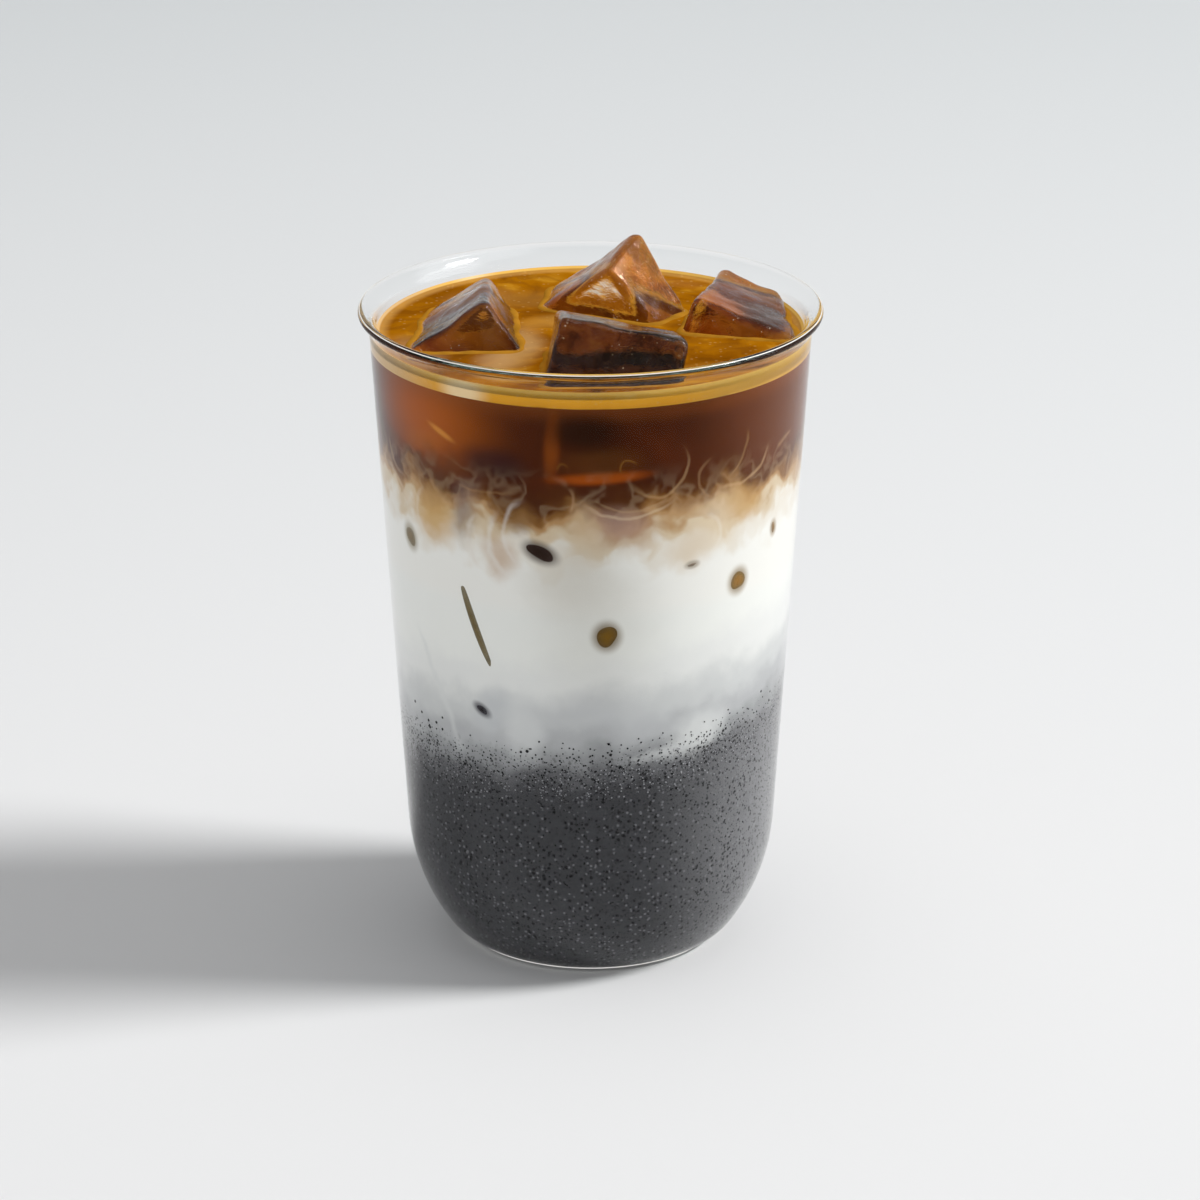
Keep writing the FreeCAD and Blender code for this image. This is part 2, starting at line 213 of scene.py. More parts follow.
def plain_mesh(piece):
    """Bakes a piece's modifiers into its mesh and takes them off."""
    evaluated = piece.evaluated_get(bpy.context.evaluated_depsgraph_get())
    mesh = bpy.data.meshes.new_from_object(evaluated)
    piece.modifiers.clear()
    old = piece.data
    piece.data = mesh
    bpy.data.meshes.remove(old)
    return piece


# ---------------------------------------------------------------- node helpers
class Tree:
    """Short calls that add nodes to one tree and wire them up."""

    def __init__(self, tree):
        self.tree = tree

    def add(self, kind, **settings):
        node = self.tree.nodes.new(kind)
        for name, value in settings.items():
            setattr(node, name, value)
        return node

    def feed(self, socket, value):
        """Links a socket to a socket, or sets a plain value or a "#rrggbb" colour on it."""
        if isinstance(value, bpy.types.NodeSocket):
            self.tree.links.new(value, socket)
        elif value is not None:
            socket.default_value = paint(value)

    def fill(self, node, **values):
        """Feeds a node's inputs by name, with _ for each space."""
        for name, value in values.items():
            self.feed(node.inputs[name.replace("_", " ")], value)
        return node

    def maths(self, operation, *values, clamp=False):
        node = self.add("ShaderNodeMath", operation=operation, use_clamp=clamp)
        for socket, value in zip(node.inputs, values):
            self.feed(socket, value)
        return node.outputs[0]

    def times(self, first, second):
        return self.maths("MULTIPLY", first, second)

    def plus(self, first, second):
        return self.maths("ADD", first, second)

    def less(self, first, second):
        return self.maths("SUBTRACT", first, second)

    def vector(self, operation, *values):
        node = self.add("ShaderNodeVectorMath", operation=operation)
        for socket, value in zip(node.inputs, values):
            self.feed(socket, value)
        return node.outputs["Value" if operation in ("LENGTH", "DISTANCE", "DOT_PRODUCT") else "Vector"]

    def scaled(self, place, by):
        node = self.add("ShaderNodeVectorMath", operation="SCALE")
        self.feed(node.inputs[0], place)
        self.feed(node.inputs["Scale"], by)
        return node.outputs["Vector"]

    def split(self, place):
        node = self.add("ShaderNodeSeparateXYZ")
        self.feed(node.inputs[0], place)
        return node.outputs

    def joined(self, x, y, z):
        node = self.add("ShaderNodeCombineXYZ")
        for socket, value in zip(node.inputs, (x, y, z)):
            self.feed(socket, value)
        return node.outputs[0]

    def step(self, value, low, high, smooth=True):
        """0 below low and 1 above high, or the other way round if low is the larger."""
        node = self.add("ShaderNodeMapRange", interpolation_type="SMOOTHSTEP" if smooth else "LINEAR")
        node.clamp = True
        self.feed(node.inputs["Value"], value)
        if isinstance(low, (int, float)) and isinstance(high, (int, float)) and low > high:
            ends = (high, low, 1.0, 0.0)
        else:
            ends = (low, high, 0.0, 1.0)
        for name, end in zip(("From Min", "From Max", "To Min", "To Max"), ends):
            self.feed(node.inputs[name], end)
        return node.outputs["Result"]

    def noise(self, place, size, detail=3.0, rough=0.5, colour=False):
        """Noise whose features are about size across, in the place's own unit."""
        node = self.add("ShaderNodeTexNoise", noise_dimensions="3D")
        self.fill(node, Vector=place, Scale=1.0 / size, Detail=detail, Roughness=rough)
        return node.outputs["Color" if colour else "Fac"]

    def mix(self, share, first, second):
        node = self.add("ShaderNodeMix", data_type="RGBA", clamp_factor=True)
        return self.fill(node, Factor=share, A=first, B=second).outputs["Result"]

    def mix_value(self, first, second, share):
        """first moved that share of the way to second."""
        return self.maths("MULTIPLY_ADD", self.less(second, first), share, first)

    def mix_place(self, first, second, share):
        """first moved that share of the way to second, for places."""
        return self.vector("ADD", first, self.scaled(self.vector("SUBTRACT", second, first), share))

    def ramp(self, value, stops):
        """A colour ramp from (position, colour) stops."""
        node = self.add("ShaderNodeValToRGB")
        self.feed(node.inputs[0], value)
        band = node.color_ramp
        band.interpolation = "EASE"
        while len(band.elements) < len(stops):
            band.elements.new(0.5)
        for element, (position, colour) in zip(band.elements, stops):
            element.position = position
            element.color = paint(colour)
        return node.outputs["Color"]

    def bump(self, height, strength, distance):
        node = self.fill(self.add("ShaderNodeBump"), Height=height, Strength=strength, Distance=distance)
        return node.outputs["Normal"]

    def group(self, group, **values):
        """Places a group and feeds its inputs by name, with _ for each space."""
        return self.fill(self.add("ShaderNodeGroup", node_tree=group), **values).outputs

    def oval(self, flat, middle, half, tilt, strength, edge=(1.3, 0.3)):
        """A soft tilted oval's share, from its middle and half sizes, in the unit of flat."""
        spot = self.group(GROUPS["oval"], Flat=flat, Middle=(*middle, 0.0),
                          Turn=(0.0, 0.0, math.radians(tilt)), Half_Size=(*half, 1.0))
        return self.maths("MULTIPLY", self.step(spot["Distance"], *edge), strength)


def paint(colour):
    """Turns a "#rrggbb" colour into the linear RGBA that nodes take. Anything else passes through."""
    if not isinstance(colour, str):
        return colour
    parts = [int(colour[i:i + 2], 16) / 255 for i in (1, 3, 5)]
    return (*[p / 12.92 if p <= 0.04045 else ((p + 0.055) / 1.055) ** 2.4 for p in parts], 1.0)


SOCKETS = {"value": "NodeSocketFloat", "place": "NodeSocketVector", "colour": "NodeSocketColor"}


def new_group(name, inputs, outputs):
    """An empty shader group. inputs is {name: (kind, start value)} and outputs is {name: kind}."""
    tree = bpy.data.node_groups.new(name, "ShaderNodeTree")
    for label, (kind, start) in inputs.items():
        socket = tree.interface.new_socket(label, in_out="INPUT", socket_type=SOCKETS[kind])
        if start is not None:
            socket.default_value = start
    for label, kind in outputs.items():
        tree.interface.new_socket(label, in_out="OUTPUT", socket_type=SOCKETS[kind])
    nodes = Tree(tree)
    return nodes, nodes.add("NodeGroupInput").outputs, nodes.add("NodeGroupOutput").inputs


class Finish(Tree):
    """A new material's tree, which ends in one Principled shader."""

    def __init__(self, name):
        self.material = bpy.data.materials.new(name)
        self.material.use_nodes = True
        self.material.node_tree.nodes.clear()
        super().__init__(self.material.node_tree)
        self.out = self.add("ShaderNodeOutputMaterial").inputs

    def coat(self, **values):
        """A plain surface. Gives the material."""
        shader = self.fill(self.add("ShaderNodeBsdfPrincipled"), **values)
        self.feed(self.out["Surface"], shader.outputs[0])
        return self.material

    def clear_coat(self, through, depth, density, **values):
        """A clear surface over tinted depth, which lamps and soft light cross, so what it holds is lit."""
        surface = self.fill(self.add("ShaderNodeBsdfPrincipled"), **values).outputs[0]
        path = self.add("ShaderNodeLightPath").outputs
        for kind in ("Is Shadow Ray", "Is Diffuse Ray"):
            open_way = self.fill(self.add("ShaderNodeBsdfTransparent"), Color=through).outputs[0]
            both = self.add("ShaderNodeMixShader")
            for socket, value in zip(both.inputs, (path[kind], surface, open_way)):
                self.feed(socket, value)
            surface = both.outputs[0]
        self.feed(self.out["Surface"], surface)
        tint = self.fill(self.add("ShaderNodeVolumeAbsorption"), Color=depth, Density=density)
        self.feed(self.out["Volume"], tint.outputs[0])
        return self.material


def object_place(nodes):
    """Where a point of the piece is, in millimetres."""
    return nodes.scaled(nodes.add("ShaderNodeTexCoord").outputs["Object"], 1000.0)


# ---------------------------------------------------------------- shared effects
def place_group():
    """Where a point lies on the drink: along the wall, up, and how deep behind the wall's inside."""
    nodes, given, result = new_group(
        "place in the drink",
        {"Place": ("place", None)},
        {"Across": "value", "Up": "value", "Right": "value", "Depth": "value"},
    )
    x, y, z = nodes.split(given["Place"])
    out = nodes.vector("LENGTH", nodes.joined(x, y, 0.0))
    across = nodes.maths("ARCSINE", nodes.maths("DIVIDE", x, out))
    # the straight wall's inner radius, run down to the table
    at_table = section.inner_radius(100 * MM) / MM - 100 * math.tan(TAPER)
    wall = nodes.maths("MULTIPLY_ADD", z, math.tan(TAPER), at_table)
    nodes.feed(result["Across"], nodes.times(across, WALL_ARC))
    nodes.feed(result["Up"], z)
    nodes.feed(result["Right"], x)
    nodes.feed(result["Depth"], nodes.less(wall, out))
    return nodes.tree


def swirl_group():
    """Bends a place by large soft eddies and small ones inside them."""
    nodes, given, result = new_group(
        "stirred",
        {"Place": ("place", None), "Size": ("value", 8.0), "Strength": ("value", 4.0)},
        {"Place": "place"},
    )
    place, size = given["Place"], given["Size"]
    moved = place
    for share, detail in ((1.0, 2.0), (0.35, 3.0)):
        eddy = nodes.add("ShaderNodeTexNoise", noise_dimensions="3D")
        nodes.feed(eddy.inputs["Vector"], moved)
        nodes.feed(eddy.inputs["Scale"], nodes.maths("DIVIDE", 1.0 / share, size))
        nodes.feed(eddy.inputs["Detail"], detail)
        push = nodes.vector("SUBTRACT", eddy.outputs["Color"], (0.5, 0.5, 0.5))
        reach = nodes.times(given["Strength"], 2.0 * share)
        moved = nodes.vector("ADD", moved, nodes.scaled(push, reach))
    nodes.feed(result["Place"], moved)
    return nodes.tree


def spot_group():
    """Distance from a tilted oval's middle: 0 there and 1 on its edge."""
    nodes, given, result = new_group(
        "oval",
        {
            "Flat": ("place", None),
            "Middle": ("place", None),
            "Turn": ("place", None),
            "Half Size": ("place", (1.0, 1.0, 1.0)),
        },
        {"Distance": "value"},
    )
    laid = nodes.add("ShaderNodeMapping", vector_type="TEXTURE")
    for socket, label in zip(laid.inputs, ("Flat", "Middle", "Turn", "Half Size")):
        nodes.feed(socket, given[label])
    nodes.feed(result["Distance"], nodes.vector("LENGTH", laid.outputs[0]))
    return nodes.tree


def curl_group():
    """A thin arc with soft ends: 1 on its line and 0 away from it."""
    nodes, given, result = new_group(
        "curl",
        {
            "Flat": ("place", None),
            "Centre": ("place", None),
            "Radius": ("value", 1.0),
            "Middle": ("place", None),
            "Reach": ("value", 1.0),
            "Width": ("value", 0.5),
        },
        {"Mask": "value"},
    )
    off = nodes.less(nodes.vector("DISTANCE", given["Flat"], given["Centre"]), given["Radius"])
    line = nodes.step(nodes.maths("DIVIDE", nodes.maths("ABSOLUTE", off), given["Width"]), 1.0, 0.0)
    along = nodes.vector("DISTANCE", given["Flat"], given["Middle"])
    ends = nodes.step(nodes.maths("DIVIDE", along, given["Reach"]), 1.0, 0.5)
    nodes.feed(result["Mask"], nodes.times(line, ends))
    return nodes.tree


def speck_group():
    """Scattered round specks: 1 inside them, on the share of the cells that Amount gives."""
    nodes, given, result = new_group(
        "specks",
        {"Place": ("place", None), "Size": ("value", 0.6), "Amount": ("value", 0.3)},
        {"Mask": "value"},
    )
    cell = nodes.add("ShaderNodeTexVoronoi", feature="F1", voronoi_dimensions="3D")
    nodes.feed(cell.inputs["Vector"], given["Place"])
    nodes.feed(cell.inputs["Scale"], nodes.maths("DIVIDE", 1.0, given["Size"]))
    pick = nodes.split(cell.outputs["Color"])[0]
    there = nodes.step(nodes.less(given["Amount"], pick), -0.02, 0.02)
    dot = nodes.step(cell.outputs["Distance"], 0.42, 0.22)
    nodes.feed(result["Mask"], nodes.times(dot, there))
    return nodes.tree


def circle_through(first, second, third):
    """Centre and radius of the circle through three points."""
    (ax, ay), (bx, by), (cx, cy) = first, second, third
    double = 2 * (ax * (by - cy) + bx * (cy - ay) + cx * (ay - by))
    a, b, c = ax * ax + ay * ay, bx * bx + by * by, cx * cx + cy * cy
    centre = (
        (a * (by - cy) + b * (cy - ay) + c * (ay - by)) / double,
        (a * (cx - bx) + b * (ax - cx) + c * (bx - ax)) / double,
    )
    return centre, math.dist(centre, first)


# ---------------------------------------------------------------- what floats against the wall
# Places on the wall are (degrees to the right of the front, height in mm).
# Wisps of milk: three points each, how wide, how strong, colour.
WISPS = (
    ((26.8, 103.4), (22.5, 98.9), (11.3, 100.2), 0.54, 0.31, "#cfa877"),
    ((-0.3, 96.4), (11.0, 94.4), (22.6, 96.8), 0.58, 0.46, "#d9c0a0"),
    ((2.0, 97.6), (11.0, 95.8), (20.0, 97.4), 0.45, 0.28, "#c9a57c"),
    ((53.6, 101.4), (47.5, 98.3), (37.2, 97.9), 0.64, 0.37, "#d6b184"),
    ((46.0, 107.0), (44.6, 103.0), (40.0, 99.5), 0.51, 0.28, "#c09663"),
    ((67.0, 103.6), (63.5, 102.9), (60.5, 101.9), 0.70, 0.28, "#c8a276"),
    ((-37.2, 98.6), (-29.5, 98.0), (-21.5, 98.7), 0.46, 0.24, "#b98d5e"),
    ((-5.6, 100.2), (-4.7, 98.0), (-5.0, 95.6), 0.54, 0.31, "#cba37a"),
    ((-72.0, 96.6), (-64.0, 95.0), (-60.0, 92.0), 0.90, 0.33, "#e2cdb4"),
    ((-69.0, 101.0), (-66.0, 98.0), (-60.0, 96.5), 0.70, 0.28, "#cfb08c"),
    ((-57.0, 65.0), (-50.2, 57.1), (-42.6, 46.5), 1.28, 0.46, "#dcdddb"),
    ((-27.0, 93.5), (-28.5, 88.0), (-24.0, 82.5), 0.96, 0.42, "#efece6"),
    ((-22.0, 95.5), (-24.0, 91.0), (-19.5, 84.5), 0.77, 0.37, "#e9e3dc"),
    ((-33.0, 93.0), (-35.5, 88.0), (-31.0, 83.0), 0.83, 0.37, "#e6ddd2"),
    ((-52.0, 95.5), (-54.5, 90.0), (-49.0, 85.5), 0.77, 0.28, "#eadfcd"),
    ((33.5, 104.0), (30.5, 99.5), (33.5, 96.8), 0.54, 0.24, "#c39a6c"),
    ((34.0, 93.0), (37.5, 89.5), (35.5, 86.0), 0.77, 0.31, "#eee6da"),
    ((12.0, 104.6), (9.4, 105.2), (8.6, 103.4), 0.35, 0.33, "#a9742f"),
    ((-9.0, 103.4), (-8.0, 104.6), (-6.4, 103.8), 0.34, 0.28, "#a9742f"),
)
# Soft ovals: place, half sizes in mm, tilt, colour, how strong, how soft the edge is.
CLOUDS = (
    ((-20.0, 52.5), (3.6, 5.2), 10, "#d9dad9", 0.74, 0.65),
    ((-30.0, 55.0), (3.0, 4.2), -35, "#c5c7c9", 0.64, 0.80),
    ((-3.0, 57.0), (8.0, 3.0), 12, "#bdbec0", 0.51, 0.90),
    ((12.0, 54.5), (7.0, 2.6), -10, "#c9cacb", 0.55, 0.90),
    ((34.0, 50.5), (5.5, 3.4), 14, "#e0e1df", 0.78, 0.70),
    ((24.0, 47.8), (6.5, 1.2), 6, "#d5d6d5", 0.64, 0.80),
    ((-48.0, 91.0), (4.6, 4.6), 20, "#cfa567", 0.78, 0.75),
    ((-36.0, 93.5), (2.6, 4.6), -18, "#84716a", 0.69, 0.85),
    ((-25.5, 85.2), (2.6, 3.4), 0, "#c6a88c", 0.69, 0.85),
    ((-20.5, 93.6), (3.2, 2.6), 20, "#7f5a33", 0.74, 0.80),
    ((45.0, 93.8), (4.6, 3.0), -8, "#c9a067", 0.78, 0.75),
    ((36.0, 91.5), (5.0, 4.4), 0, "#e2cfb2", 0.69, 0.80),
    ((28.0, 87.0), (3.8, 3.2), 12, "#d9c6ac", 0.64, 0.80),
    ((8.0, 92.6), (5.6, 3.0), -8, "#b39383", 0.74, 0.80),
    ((-2.0, 91.5), (2.4, 5.0), 0, "#d8bf9c", 0.64, 0.80),
    ((-5.0, 83.0), (7.0, 6.0), 0, "#cfc8bb", 0.55, 0.95),
    ((1.0, 74.0), (9.5, 10.0), 0, "#cfccc2", 0.41, 0.95),
)
# Ice under the milk where it touches the wall: place, half sizes in mm, tilt, heart, edge.
SUNK_ICE = (
    ((4.6, 71.6), (1.9, 2.0), 0, "#86611f", "#6e5730"),
    ((45.5, 78.6), (1.7, 1.8), -10, "#ad7c36", "#8f7446"),
    ((-13.7, 87.6), (2.5, 1.3), -22, "#2b1b14", "#3b2c27"),
    ((-59.4, 84.6), (1.4, 1.8), 22, "#8a7450", "#94866a"),
    ((60.7, 86.1), (0.6, 1.0), 6, "#a07a44", "#a89070"),
    ((-33.4, 54.9), (1.4, 0.6), -26, "#2a272a", "#4c4a50"),
    ((29.0, 84.0), (0.9, 0.3), 4, "#8b7a68", "#a89c8c"),
    ((-33.9, 71.6), (0.76, 8.2), 22, "#7d6c48", "#8a8068"),
)


def column_group():
    """The colour of the whole drink where it meets the wall, from the sesame to the coffee, with painted
    light on its sides.
    """
    nodes, given, result = new_group(
        "drink against the wall",
        {"Place": ("place", None)},
        {"Colour": "colour"},
    )
    stirred = nodes.group(GROUPS["stirred"], Place=given["Place"], Size=7.0, Strength=2.4)["Place"]
    still = nodes.group(GROUPS["place"], Place=given["Place"])
    moved = nodes.group(GROUPS["place"], Place=stirred)
    across, up, right = still["Across"], still["Up"], still["Right"]

    # sesame, rising a little to the right, up through grey into the milk, with painted light lightening its
    # right side
    ripple = nodes.times(nodes.less(nodes.noise(given["Place"], 6.0), 0.5), 7.0)
    drift = nodes.maths("MULTIPLY_ADD", moved["Up"], 0.35, nodes.times(up, 0.65))
    level = nodes.plus(nodes.maths("MULTIPLY_ADD", across, -0.088, drift), ripple)
    lower = nodes.ramp(nodes.step(level, 38.0, 70.0, smooth=False), (
        (0.00, "#434345"), (0.08, "#48484a"), (0.19, "#666668"), (0.29, "#98999a"),
        (0.42, "#b7b8b9"), (0.58, "#cfd0cf"), (0.78, "#e9e9e6"), (1.00, "#f1f1ec"),
    ))
    # painted light: the sesame turns a lighter grey towards the right, where the key lamp shines
    painted_light_right = nodes.step(right, 8.0, 38.0)
    sunk = nodes.step(level, 50.0, 40.0)
    lower = nodes.mix(nodes.times(nodes.times(painted_light_right, sunk), 0.75), lower, "#98989a")
    flat = nodes.joined(across, up, 0.0)
    lower = nodes.mix(nodes.oval(flat, (-33.0, 22.0), (9.0, 20.0), 0, 0.5), lower, "#3e3e40")

    # coffee, clear brown, with painted light: a warm painted glow on the left and a lighter brown on the
    # right, the key lamp's side
    deep = nodes.mix(nodes.noise(stirred, 9.0, detail=2), "#2c0f05", "#5a270e")
    # painted light: a warm glow painted on the left, then a lighter brown painted on the right
    coffee = nodes.mix(nodes.oval(flat, (-33.0, 110.0), (20.0, 13.0), 0, 1.0, (1.1, 0.1)), deep, "#a8530f")
    coffee = nodes.mix(nodes.step(right, 14.0, 38.0), coffee, "#6c3817")
    coffee = nodes.mix(nodes.times(nodes.step(up, 111.5, 115.5), 0.40), coffee, "#8f4d20")
    for middle, size, tilt, colour, strength in (
        ((2.5, 102.2), (9.0, 1.3), 3, "#b1500a", 0.85),
        ((3.0, 105.0), (8.0, 3.5), 0, "#5c3410", 0.55),
        ((-10.0, 108.0), (1.6, 7.0), -4, "#9a4c10", 0.55),
        ((-43.0, 107.6), (3.4, 0.7), -22, "#d88f3a", 0.75),
        ((-50.0, 105.0), (6.0, 2.4), 10, "#b0621f", 0.40),
        ((-2.0, 110.8), (7.0, 4.0), 0, "#220e05", 0.80),
        ((-27.0, 103.5), (7.0, 3.6), 0, "#31181a", 0.70),
    ):
        share = nodes.oval(flat, (middle[0] * DEGREE, middle[1]), size, tilt, strength)
        coffee = nodes.mix(share, coffee, colour)

    # where they meet: cream and caramel clouds in folds
    fold = nodes.noise(stirred, 6.5, detail=2, rough=0.45)
    height = nodes.mix_value(moved["Up"], up, 0.25)
    lean = nodes.maths("MULTIPLY_ADD", nodes.maths("ABSOLUTE", across), -0.04, height)
    lean = nodes.plus(lean, nodes.times(nodes.less(fold, 0.5), 15.0))
    share = nodes.step(lean, 82.5, 104.0, smooth=False)
    cream = nodes.ramp(share, (
        (0.00, "#f3f1eb"), (0.22, "#e9e2d6"), (0.36, "#d6c2a4"), (0.48, "#b58d5f"),
        (0.60, "#875c30"), (0.72, "#5e3718"), (1.00, "#3c1c0c"),
    ))
    colour = nodes.mix(nodes.step(up, 74.0, 78.0), lower, cream)
    colour = nodes.mix(nodes.step(share, 0.60, 0.92), colour, coffee)
    ridge = nodes.maths("ABSOLUTE", nodes.less(nodes.noise(stirred, 5.0, detail=2), 0.5))
    thread = nodes.times(nodes.step(ridge, 0.10, 0.0), nodes.step(up, 88.0, 93.0))
    thread = nodes.times(thread, nodes.step(up, 105.0, 98.0))
    colour = nodes.mix(nodes.times(thread, 0.15), colour, "#dcc09a")

    drawn_across = nodes.mix_value(across, moved["Across"], 0.9)
    drawn = nodes.joined(drawn_across, nodes.mix_value(up, moved["Up"], 0.9), 0.0)
    for place, size, tilt, tone, strength, soft in CLOUDS:
        middle = (place[0] * DEGREE, place[1])
        share = nodes.oval(drawn, middle, size, tilt, strength, (1 + soft, 1 - soft))
        colour = nodes.mix(share, colour, tone)
    eddy = nodes.vector("SUBTRACT", nodes.noise(given["Place"], 5.0, colour=True), (0.5, 0.5, 0.5))
    bent = nodes.vector("ADD", flat, nodes.scaled(eddy, 2.2))
    bent = nodes.vector("MULTIPLY", bent, (1.0, 1.0, 0.0))
    for first, second, third, width, strength, tone in WISPS:
        points = [(p[0] * DEGREE, p[1]) for p in (first, second, third)]
        centre, radius = circle_through(*points)
        reach = 1.2 * max(math.dist(points[0], points[1]), math.dist(points[1], points[2]))
        curl = nodes.group(GROUPS["curl"], Flat=bent, Centre=(*centre, 0.0), Radius=radius,
                           Middle=(*points[1], 0.0), Reach=reach, Width=width)
        colour = nodes.mix(nodes.times(curl["Mask"], strength), colour, tone)
    front = nodes.step(nodes.split(given["Place"])[1], 2.0, -2.0)
    for place, size, tilt, heart, edge in SUNK_ICE:
        if size[1] > SLIVER:
            continue
        middle = (place[0] * DEGREE, place[1])
        share = nodes.oval(flat, middle, (size[0] + 0.35, size[1] + 0.35), tilt, 0.75, (1.7, 0.7))
        colour = nodes.mix(nodes.times(share, front), colour, edge)
    nodes.feed(result["Colour"], colour)
    return nodes.tree


# ---------------------------------------------------------------- clear finishes
def glass_finish(name, shine, bend):
    """Clear borosilicate glass, faintly green where it is looked through edgewise."""
    return Finish(name).clear_coat(
        (0.98, 0.98, 0.98, 1), (0.30, 0.55, 0.45, 1), 9.0, Base_Color=(1.0, 1.0, 1.0, 1), Roughness=0.0,
        IOR=bend, Transmission_Weight=1.0, Specular_Tint=(shine, shine, shine, 1))


def ice_finish(name, stain, tone):
    """Melting ice: a stained heart, pale frosted edges, fine scratches; stain is per metre of depth."""
    nodes = Finish(name)
    place = object_place(nodes)
    edge = nodes.step(nodes.add("ShaderNodeNewGeometry").outputs["Pointiness"], 0.515, 0.56)
    stirred = nodes.group(GROUPS["stirred"], Place=place, Size=7.0, Strength=4.0)["Place"]
    x, y, z = nodes.split(stirred)
    grain = nodes.joined(nodes.times(x, 0.35), y, nodes.times(z, 1.6))
    streak = nodes.noise(grain, 1.1, detail=3, rough=0.6)
    cloud = nodes.noise(stirred, 3.2, detail=3)
    shade = nodes.ramp(cloud, ((0.36, tone), (0.50, "#e6d2b8"), (0.60, "#fbf7f4")))
    shade = nodes.mix(nodes.times(nodes.step(streak, 0.55, 0.66), 0.5), shade, "#ffffff")
    ripple = nodes.plus(nodes.noise(place, 6.0, detail=2), nodes.times(streak, 0.30))
    frost = nodes.times(nodes.noise(place, 0.45, detail=2), nodes.maths("MULTIPLY_ADD", edge, 0.8, 0.02))
    return nodes.clear_coat(
        (0.96, 0.97, 0.98, 1), (0.74, 0.64, 0.50, 1), stain, Base_Color=shade, Roughness=0.0, IOR=1.31,
        Specular_Tint=(0.90, 0.74, 0.62, 1), Transmission_Weight=0.99,
        Normal=nodes.bump(nodes.plus(ripple, frost), 0.5, 0.0006))


def plain_finish(name, colour, roughness, shine, mottle=0.3, size=1.0):
    """A fine-grained finish for specks and bubbles, a little uneven in tone."""
    nodes = Finish(name)
    tone = nodes.times(nodes.noise(object_place(nodes), size), mottle)
    shade = nodes.mix(tone, colour, "#000000")
    return nodes.coat(Base_Color=shade, Roughness=roughness, Specular_IOR_Level=shine)


def sunk_ice_finish():
    """Stained ice under the milk: its own tint, darker and cloudier towards its rim."""
    nodes = Finish("sunk ice")
    tint = nodes.add("ShaderNodeAttribute", attribute_name="tint").outputs["Color"]
    grain = nodes.noise(object_place(nodes), 1.2, detail=3)
    shade = nodes.mix(nodes.times(grain, 0.45), tint, "#1c120a")
    return nodes.coat(Base_Color=shade, Roughness=0.3, Specular_IOR_Level=0.0)


# ---------------------------------------------------------------- the drink's finishes
def drink_finish(name, inside, roughness=0.5):
    """A layer's finish: the shared colour at the wall, and inside(nodes, place, spot) further in."""
    nodes = Finish(name)
    place = object_place(nodes)
    spot = nodes.group(GROUPS["place"], Place=place)
    side = nodes.group(GROUPS["column"], Place=place)["Colour"]
    skin = nodes.step(spot["Depth"], 1.2, 0.5)
    colour = nodes.mix(skin, inside(nodes, place, spot), side)
    return nodes.coat(Base_Color=colour, Roughness=roughness, Specular_IOR_Level=0.0)


def sesame_finish():
    """Ground black sesame in milk: dark grey, speckled pale and black."""
    nodes = Finish("black sesame milk")
    place = object_place(nodes)
    colour = nodes.group(GROUPS["column"], Place=place)["Colour"]
    up = nodes.split(place)[2]
    low = nodes.step(up, 50.0, 43.0)
    patch = nodes.step(nodes.noise(place, 2.2, detail=3), 0.35, 0.70)
    for size, amount, tone, strength in (
        (0.80, 0.35, "#8a8a8e", 0.50),
        (0.95, 0.40, "#0c0c0d", 0.80),
        (0.55, 0.40, "#1c1c1e", 0.60),
    ):
        specks = nodes.group(GROUPS["specks"], Place=place, Size=size, Amount=amount)["Mask"]
        share = nodes.times(nodes.times(specks, low), strength)
        colour = nodes.mix(share, colour, tone)
    colour = nodes.mix(nodes.times(nodes.times(patch, low), 0.18), colour, "#55555a")
    return nodes.coat(Base_Color=colour, Roughness=0.55, Specular_IOR_Level=0.0)


def milk_inside(nodes, place, spot):
    """Plain milk, which only shows if the drink is cut."""
    return nodes.mix(nodes.noise(place, 8.0), "#efefe9", "#e6e4dc")


def coffee_inside(nodes, place, spot):
    """The coffee round the sunk ice: amber just under the crema, where light from above is painted in, and
    nearly black below, the coffee's own dark brown.
    """
    stirred = nodes.group(GROUPS["stirred"], Place=place, Size=6.0, Strength=2.5)["Place"]
    veins = nodes.noise(stirred, 3.0, detail=4)
    depth = nodes.plus(nodes.split(place)[2], nodes.times(veins, 5.0))
    # painted light: amber near the top, fading down to the coffee's own near-black brown
    return nodes.ramp(nodes.step(depth, 101.0, 118.5, smooth=False), (
        (0.00, "#3c1a08"), (0.35, "#6e340e"), (0.60, "#b0661a"), (0.85, "#e09a30"), (1.00, "#e8a63c"),
    ))


def crema_inside(nodes, place, spot):
    """The crema's top: gold, marbled with coffee brown and pale foam."""
    stirred = nodes.group(GROUPS["stirred"], Place=place, Size=16.0, Strength=7.0)["Place"]
    x, y, _ = nodes.split(stirred)
    flow = nodes.noise(stirred, 11.0, detail=4, rough=0.5)
    bands = nodes.step(nodes.noise(nodes.joined(x, nodes.times(y, 2.2), 0.0), 7.0, detail=3), 0.42, 0.62)
    colour = nodes.ramp(flow, ((0.25, "#4a2604"), (0.42, "#8a5004"), (0.55, "#a56606"), (0.72, "#c28720")))
    colour = nodes.mix(nodes.times(bands, 0.45), colour, "#7e4a10")
    drawn = nodes.vector("MULTIPLY", nodes.mix_place(place, stirred, 0.35), (1.0, 1.0, 0.0))
    for middle, size, tilt, tone, strength in POOLS:
        colour = nodes.mix(nodes.oval(drawn, middle, size, tilt, strength, (1.4, 0.4)), colour, tone)
    edge = nodes.step(spot["Depth"], 2.6, 0.8)
    return nodes.mix(nodes.times(edge, 0.45), colour, "#dca95a")


